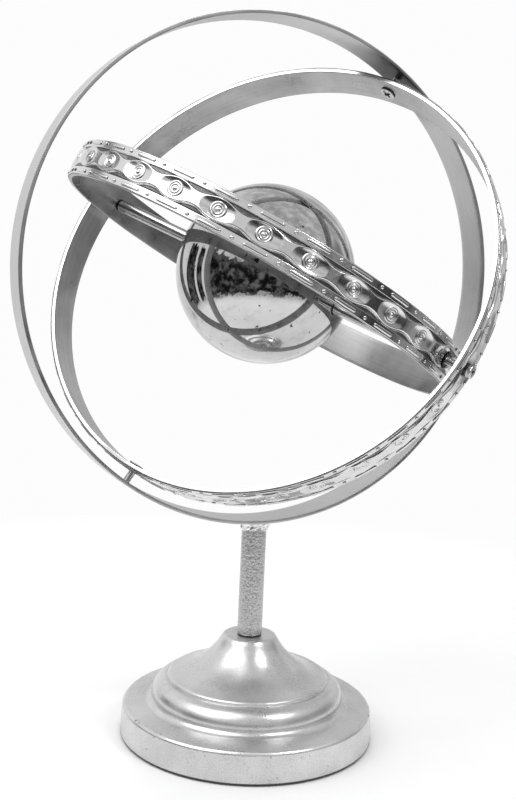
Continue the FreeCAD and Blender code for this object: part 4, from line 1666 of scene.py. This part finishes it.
class SpinningBall:
    """The hollow mirror ball and the black bushes that it runs on."""

    radius = 49.0
    wall = 1.0
    mouth = 4.4
    neck_length = 9.0
    neck_wall = 0.8
    bush_bore = 3.55

    def __init__(self, workshop: Workshop) -> None:
        """Keep the workshop that fits the pieces."""
        self.workshop = workshop

    def shell_outline(self) -> list[Vector]:
        """The shell's closed section, from one mouth over the outside to the other and back inside.

        Returns:
            Points (radius, level) in millimetres.
        """
        mouth_level = math.sqrt(self.radius ** 2 - self.mouth ** 2)
        neck_foot = mouth_level - self.neck_length
        cavity = self.radius - self.wall
        neck = self.mouth + self.neck_wall
        start = math.asin((self.mouth + 0.45) / self.radius)
        outside = []
        for angle in np.linspace(start, math.pi - start, 120):
            outside.append(Vector((self.radius * math.sin(angle), self.radius * math.cos(angle))))
        lip = [Vector((self.mouth + 0.15, mouth_level - 0.1)), Vector((self.mouth, mouth_level - 0.35))]
        near = lip[::-1]
        far = [Vector((point.x, -point.y)) for point in lip]
        inner_start = math.asin(neck / cavity)
        inside = []
        for angle in np.linspace(math.pi - inner_start, inner_start, 60):
            inside.append(Vector((cavity * math.sin(angle), cavity * math.cos(angle))))
        closing = [Vector((self.mouth, -neck_foot)), Vector((neck, -neck_foot))]
        opening = [Vector((neck, neck_foot)), Vector((self.mouth, neck_foot))]
        return near + outside + far + closing + inside + opening

    def build(self) -> None:
        """The shell and its two bushes."""
        place = Stance.INNER.along_pivot(1)
        mesh = turned("ball_shell", self.shell_outline(), 224)
        self.workshop.fit("ball_shell_mirror", mesh, place, Body.BALL, Slot.BALL_CHROME, "ball_shell")
        mouth_level = math.sqrt(self.radius ** 2 - self.mouth ** 2)
        for name, side in (("right", 1), ("left", -1)):
            node = "ball_bush_" + name
            mesh = washer(node, self.bush_bore, self.mouth, mouth_level - self.neck_length, mouth_level)
            place = Stance.INNER.along_pivot(side)
            self.workshop.fit(node + "_black", mesh, place, Body.BALL, Slot.BLACK_NYLON, node)


@dataclass(frozen=True)
class SoftBox:
    """A soft lamp that looks at the rings from a heading and a height."""

    name: str
    heading: float
    elevation: float
    distance: float
    size: float
    power: float
    mirrored: bool = True

    def hang(self) -> None:
        """Put the lamp in the scene."""
        lamp = bpy.data.lights.new(self.name, "AREA")
        lamp.shape = "DISK"
        lamp.size = self.size
        lamp.energy = self.power
        holder = bpy.data.objects.new(self.name, lamp)
        holder.visible_glossy = self.mirrored
        bpy.context.scene.collection.objects.link(holder)
        heading = math.radians(self.heading)
        elevation = math.radians(self.elevation)
        out = Vector((
            math.sin(heading) * math.cos(elevation),
            -math.cos(heading) * math.cos(elevation),
            math.sin(elevation),
        ))
        target = Vector((0, 0, 0.2))
        holder.location = target + out * self.distance
        holder.rotation_euler = out.to_track_quat("Z", "Y").to_euler()


class Surroundings:
    """The world round the object: white for the eye, and a made-up room for what metal mirrors.

    A level is the upward part of a way of length 1, a turn is the angle in radians from the way to
    the camera, and a tone is a grey. A pair of levels or turns says where a part of the room starts
    and where it is whole.
    """

    light_strength = 0.72
    clutter_waves = 6.5
    clutter_detail = 7.0
    clutter_roughness = 0.62
    clutter_range = (0.42, 0.66)
    bush_slope = -0.16
    bush_lumps = 0.9
    bush_level = -0.27
    bush_edge = (-0.02, 0.03)
    bush_turns = (1.5, 1.3)
    bush_tones = (0.008, 0.2)
    panes = ((-1.93, (0.17, 0.14)), (-1.62, (0.1, 0.07)))
    pane_lumps = 0.3
    pane_tops = (0.5, 0.46)
    haze_range = (0.35, 0.65)
    haze_tones = (0.5, 0.95)
    ceiling_levels = (0.25, 0.6)
    ceiling_tones = (0.58, 0.9)
    window_way = (-0.7, 0.7, 0.0)
    window_range = (0.2, 0.7)
    window_tone = 0.95
    wall_turn = 1.45
    wall_turns = (0.8, 0.55)
    wall_levels = (0.5, 0.35)
    wall_share = 0.8
    wall_tone = 0.22
    ground_lumps = 0.5
    ground_levels = (-0.16, -0.2)

    def __init__(self, heading: float) -> None:
        """Start an empty world.

        Args:
            heading: the camera's heading round the object, in radians.
        """
        world = bpy.data.worlds.new("surroundings")
        bpy.context.scene.world = world
        world.use_nodes = True
        self.tree = world.node_tree
        self.tree.nodes.clear()
        self.heading = heading
        self.way = self.add("TexCoord").outputs["Generated"]

    def add(self, kind: str, **settings: object) -> bpy.types.Node:
        """A new node of the world with its properties set.

        Args:
            kind: the node's kind, without its first word.
            settings: its properties by name.

        Returns:
            The node.
        """
        node = self.tree.nodes.new("ShaderNode" + kind)
        for key, value in settings.items():
            setattr(node, key, value)
        return node

    def arithmetic(self, kind: str, first: object, second: object) -> bpy.types.NodeSocket:
        """A step of arithmetic on sockets or numbers.

        Args:
            kind: the operation's name.
            first: the first socket or number.
            second: the second socket or number.

        Returns:
            The result.
        """
        node = self.add("Math", operation=kind)
        for socket, value in zip(node.inputs, (first, second)):
            if isinstance(value, (int, float)):
                socket.default_value = value
            else:
                self.tree.links.new(value, socket)
        return node.outputs[0]

    def ranged(self, source: bpy.types.NodeSocket, low: float, high: float) -> bpy.types.NodeSocket:
        """A smooth rise from 0 at low to 1 at high.

        Args:
            source: the value that rises.
            low: where the rise starts.
            high: where it ends.

        Returns:
            The rise.
        """
        node = self.add("MapRange", interpolation_type="SMOOTHSTEP")
        node.inputs["From Min"].default_value = low
        node.inputs["From Max"].default_value = high
        self.tree.links.new(source, node.inputs["Value"])
        return node.outputs["Result"]

    def along(self, direction: tuple[float, float, float]) -> bpy.types.NodeSocket:
        """How far the looked-at way leans in a direction.

        Args:
            direction: the direction, of about length 1.

        Returns:
            The lean, 1 where they are the same.
        """
        node = self.add("VectorMath", operation="DOT_PRODUCT")
        self.tree.links.new(self.way, node.inputs[0])
        node.inputs[1].default_value = direction
        return node.outputs["Value"]

    def blend(self, share: bpy.types.NodeSocket, low: object, high: object) -> bpy.types.NodeSocket:
        """A grey between two greys or sockets.

        Args:
            share: how far it is from the first towards the second.
            low: a grey or a socket.
            high: another.

        Returns:
            The grey.
        """
        node = self.add("Mix", data_type="RGBA")
        self.tree.links.new(share, node.inputs["Factor"])
        for socket, value in ((node.inputs[6], low), (node.inputs[7], high)):
            if isinstance(value, (int, float)):
                socket.default_value = (value, value, value, 1)
            else:
                self.tree.links.new(value, socket)
        return node.outputs[2]

    def apart(self, turn: bpy.types.NodeSocket, place: float) -> bpy.types.NodeSocket:
        """How far a turn is from a fixed turn, either way."""
        return self.arithmetic("ABSOLUTE", self.arithmetic("SUBTRACT", turn, place), 0.0)

    def room(self) -> bpy.types.NodeSocket:
        """The tones of the made-up room: bushes and panes in front of walls, a ceiling and the ground.

        Returns:
            The grey that metal mirrors from each way.
        """
        sin_h, cos_h = math.sin(self.heading), math.cos(self.heading)
        ahead = self.along((sin_h, -cos_h, 0.0))
        aside = self.along((cos_h, sin_h, 0.0))
        up = self.along((0.0, 0.0, 1.0))
        turn = self.arithmetic("ARCTAN2", aside, ahead)
        clutter = self.add("TexNoise")
        clutter.inputs["Scale"].default_value = self.clutter_waves
        clutter.inputs["Detail"].default_value = self.clutter_detail
        clutter.inputs["Roughness"].default_value = self.clutter_roughness
        self.tree.links.new(self.way, clutter.inputs["Vector"])
        lumps = clutter.outputs["Fac"]
        slope = self.arithmetic("MULTIPLY", turn, self.bush_slope)
        sloped = self.arithmetic("ADD", slope, self.arithmetic("MULTIPLY", lumps, self.bush_lumps))
        top = self.arithmetic("ADD", sloped, self.bush_level)
        covered = self.ranged(self.arithmetic("SUBTRACT", top, up), *self.bush_edge)
        front = self.ranged(self.apart(turn, 0.0), *self.bush_turns)
        bushes = self.arithmetic("MULTIPLY", covered, front)
        ragged = self.arithmetic("ADD", up, self.arithmetic("MULTIPLY", lumps, self.pane_lumps))
        low_enough = self.ranged(ragged, *self.pane_tops)
        lit = [self.ranged(self.apart(turn, place), *ends) for place, ends in self.panes]
        panes = self.arithmetic("MULTIPLY", self.arithmetic("MAXIMUM", *lit), low_enough)
        depth = self.ranged(lumps, *self.clutter_range)
        haze = self.blend(self.ranged(lumps, *self.haze_range), *self.haze_tones)
        high = self.ranged(up, *self.ceiling_levels)
        ceiling = self.blend(high, haze, self.blend(depth, *self.ceiling_tones))
        window = self.ranged(self.along(self.window_way), *self.window_range)
        open_side = self.blend(window, ceiling, self.window_tone)
        beside = self.ranged(self.apart(turn, self.wall_turn), *self.wall_turns)
        under_top = self.ranged(up, *self.wall_levels)
        wall = self.arithmetic("MULTIPLY", self.arithmetic("MULTIPLY", beside, under_top), self.wall_share)
        sides = self.blend(wall, open_side, self.wall_tone)
        things = self.arithmetic("MAXIMUM", bushes, panes)
        room = self.blend(things, sides, self.blend(depth, *self.bush_tones))
        uneven = self.arithmetic("MULTIPLY", lumps, self.ground_lumps)
        ground = self.ranged(self.arithmetic("ADD", up, uneven), *self.ground_levels)
        return self.blend(ground, room, haze)

    def background(self, strength: float) -> bpy.types.Node:
        """A plain white background of the given strength.

        Args:
            strength: its strength, 1 for white.

        Returns:
            The background's node.
        """
        node = self.add("Background")
        node.inputs["Color"].default_value = (1, 1, 1, 1)
        node.inputs["Strength"].default_value = strength
        return node

    def build(self) -> None:
        """Show the eye plain white, metal the room, and light the object evenly."""
        path = self.add("LightPath")
        mirrored = self.add("Background")
        self.tree.links.new(self.room(), mirrored.inputs["Color"])
        plain = self.background(WHITE_STRENGTH)
        lighting = self.background(self.light_strength)
        rays = (path.outputs["Is Glossy Ray"], path.outputs["Is Transmission Ray"])
        shiny = self.arithmetic("MAXIMUM", *rays)
        first = self.add("MixShader")
        self.tree.links.new(shiny, first.inputs[0])
        self.tree.links.new(lighting.outputs[0], first.inputs[1])
        self.tree.links.new(mirrored.outputs[0], first.inputs[2])
        second = self.add("MixShader")
        self.tree.links.new(path.outputs["Is Camera Ray"], second.inputs[0])
        self.tree.links.new(first.outputs[0], second.inputs[1])
        self.tree.links.new(plain.outputs[0], second.inputs[2])
        output = self.add("OutputWorld")
        self.tree.links.new(second.outputs[0], output.inputs["Surface"])


class Studio:
    """Pale floor and surroundings, soft lamps, and the camera at the photograph's angle."""

    heading = math.radians(-24.544)
    elevation = math.radians(6.66)
    roll = math.radians(2.578)
    distance = 614.03
    across = -1.079
    height = 190.62
    focal_pixels = 1106.99
    image_height = 800
    sensor = 36.0
    floor_radius = 14
    floor_drop = 0.0002
    sheet_edge = (0.42, 0.56)

    lamps = (
        SoftBox("left_window", -80, 54, 1.5, 1.4, 11),
        SoftBox("right_lamp", 27, 48, 1.4, 0.3, 3.6),
        SoftBox("top_fill", 150, 65, 1.6, 0.9, 5, mirrored=False),
    )

    def set_camera(self) -> None:
        """The camera fitted to the photograph."""
        sin_h, cos_h = math.sin(self.heading), math.cos(self.heading)
        sin_e, cos_e = math.sin(self.elevation), math.cos(self.elevation)
        back = Vector((sin_h * cos_e, -cos_h * cos_e, sin_e))
        right = Vector((cos_h, sin_h, 0))
        up = back.cross(right)
        turned_right = math.cos(self.roll) * right + math.sin(self.roll) * up
        turned_up = -math.sin(self.roll) * right + math.cos(self.roll) * up
        aim = Vector((self.across * cos_h, self.across * sin_h, self.height)) * MM
        matrix = Matrix((turned_right, turned_up, back)).transposed().to_4x4()
        matrix.translation = aim + back * self.distance * MM
        lens = bpy.data.cameras.new("camera")
        lens.sensor_width = self.sensor
        lens.lens = self.focal_pixels / self.image_height * self.sensor
        lens.clip_start = 0.01
        lens.clip_end = 60
        camera = bpy.data.objects.new("camera", lens)
        bpy.context.scene.collection.objects.link(camera)
        camera.matrix_world = matrix
        bpy.context.scene.camera = camera

    def lay_floor(self) -> None:
        """A pale sheet near the object, which ends in plain white for the eye and in the room for metal."""
        shaped = bmesh.new()
        bmesh.ops.create_circle(shaped, cap_ends=True, segments=96, radius=self.floor_radius)
        mesh = bpy.data.meshes.new("floor")
        shaped.to_mesh(mesh)
        shaped.free()
        floor = bpy.data.objects.new("floor", mesh)
        bpy.context.scene.collection.objects.link(floor)
        floor.location = (0, 0, -self.floor_drop)
        board = Board("pale_sheet", carried=True)
        tree = board.tree
        grain = board.noise((30, 30, 30), detail=3)
        board.join(board.tinted(grain, 0.9, 0.92), board.shader.inputs["Base Color"])
        board.shader.inputs["Roughness"].default_value = 0.9
        length = board.add("VectorMath", operation="LENGTH")
        board.join(board.place, length.inputs[0])
        far = board.mapped(length.outputs["Value"], *self.sheet_edge, 0, 1)
        path = board.add("LightPath")
        white = board.add("Emission")
        white.inputs["Color"].default_value = (1, 1, 1, 1)
        white.inputs["Strength"].default_value = WHITE_STRENGTH
        clear = board.add("BsdfTransparent")
        beyond = board.add("MixShader")
        board.join(path.outputs["Is Camera Ray"], beyond.inputs[0])
        board.join(clear.outputs[0], beyond.inputs[1])
        board.join(white.outputs[0], beyond.inputs[2])
        mixed = board.add("MixShader")
        board.join(far, mixed.inputs[0])
        board.join(board.shader.outputs[0], mixed.inputs[1])
        board.join(beyond.outputs[0], mixed.inputs[2])
        board.join(mixed.outputs[0], tree.nodes["Material Output"].inputs["Surface"])
        mesh.materials.append(board.material)

    def build(self) -> None:
        """Floor, surroundings, lamps and camera."""
        self.set_camera()
        self.lay_floor()
        Surroundings(self.heading).build()
        for lamp in self.lamps:
            lamp.hang()
        bpy.context.scene.view_settings.view_transform = "Standard"


def main() -> None:
    """Build the object from the stand inwards, and then the studio round it."""
    logging.basicConfig(level=logging.INFO, format="%(name)s: %(message)s")
    workshop = Workshop(Finishes())
    for assembly in (StandAssembly, MiddleRing, InnerRing, SpinningBall):
        assembly(workshop).build()
    Studio().build()


if __name__ == "__main__":
    main()
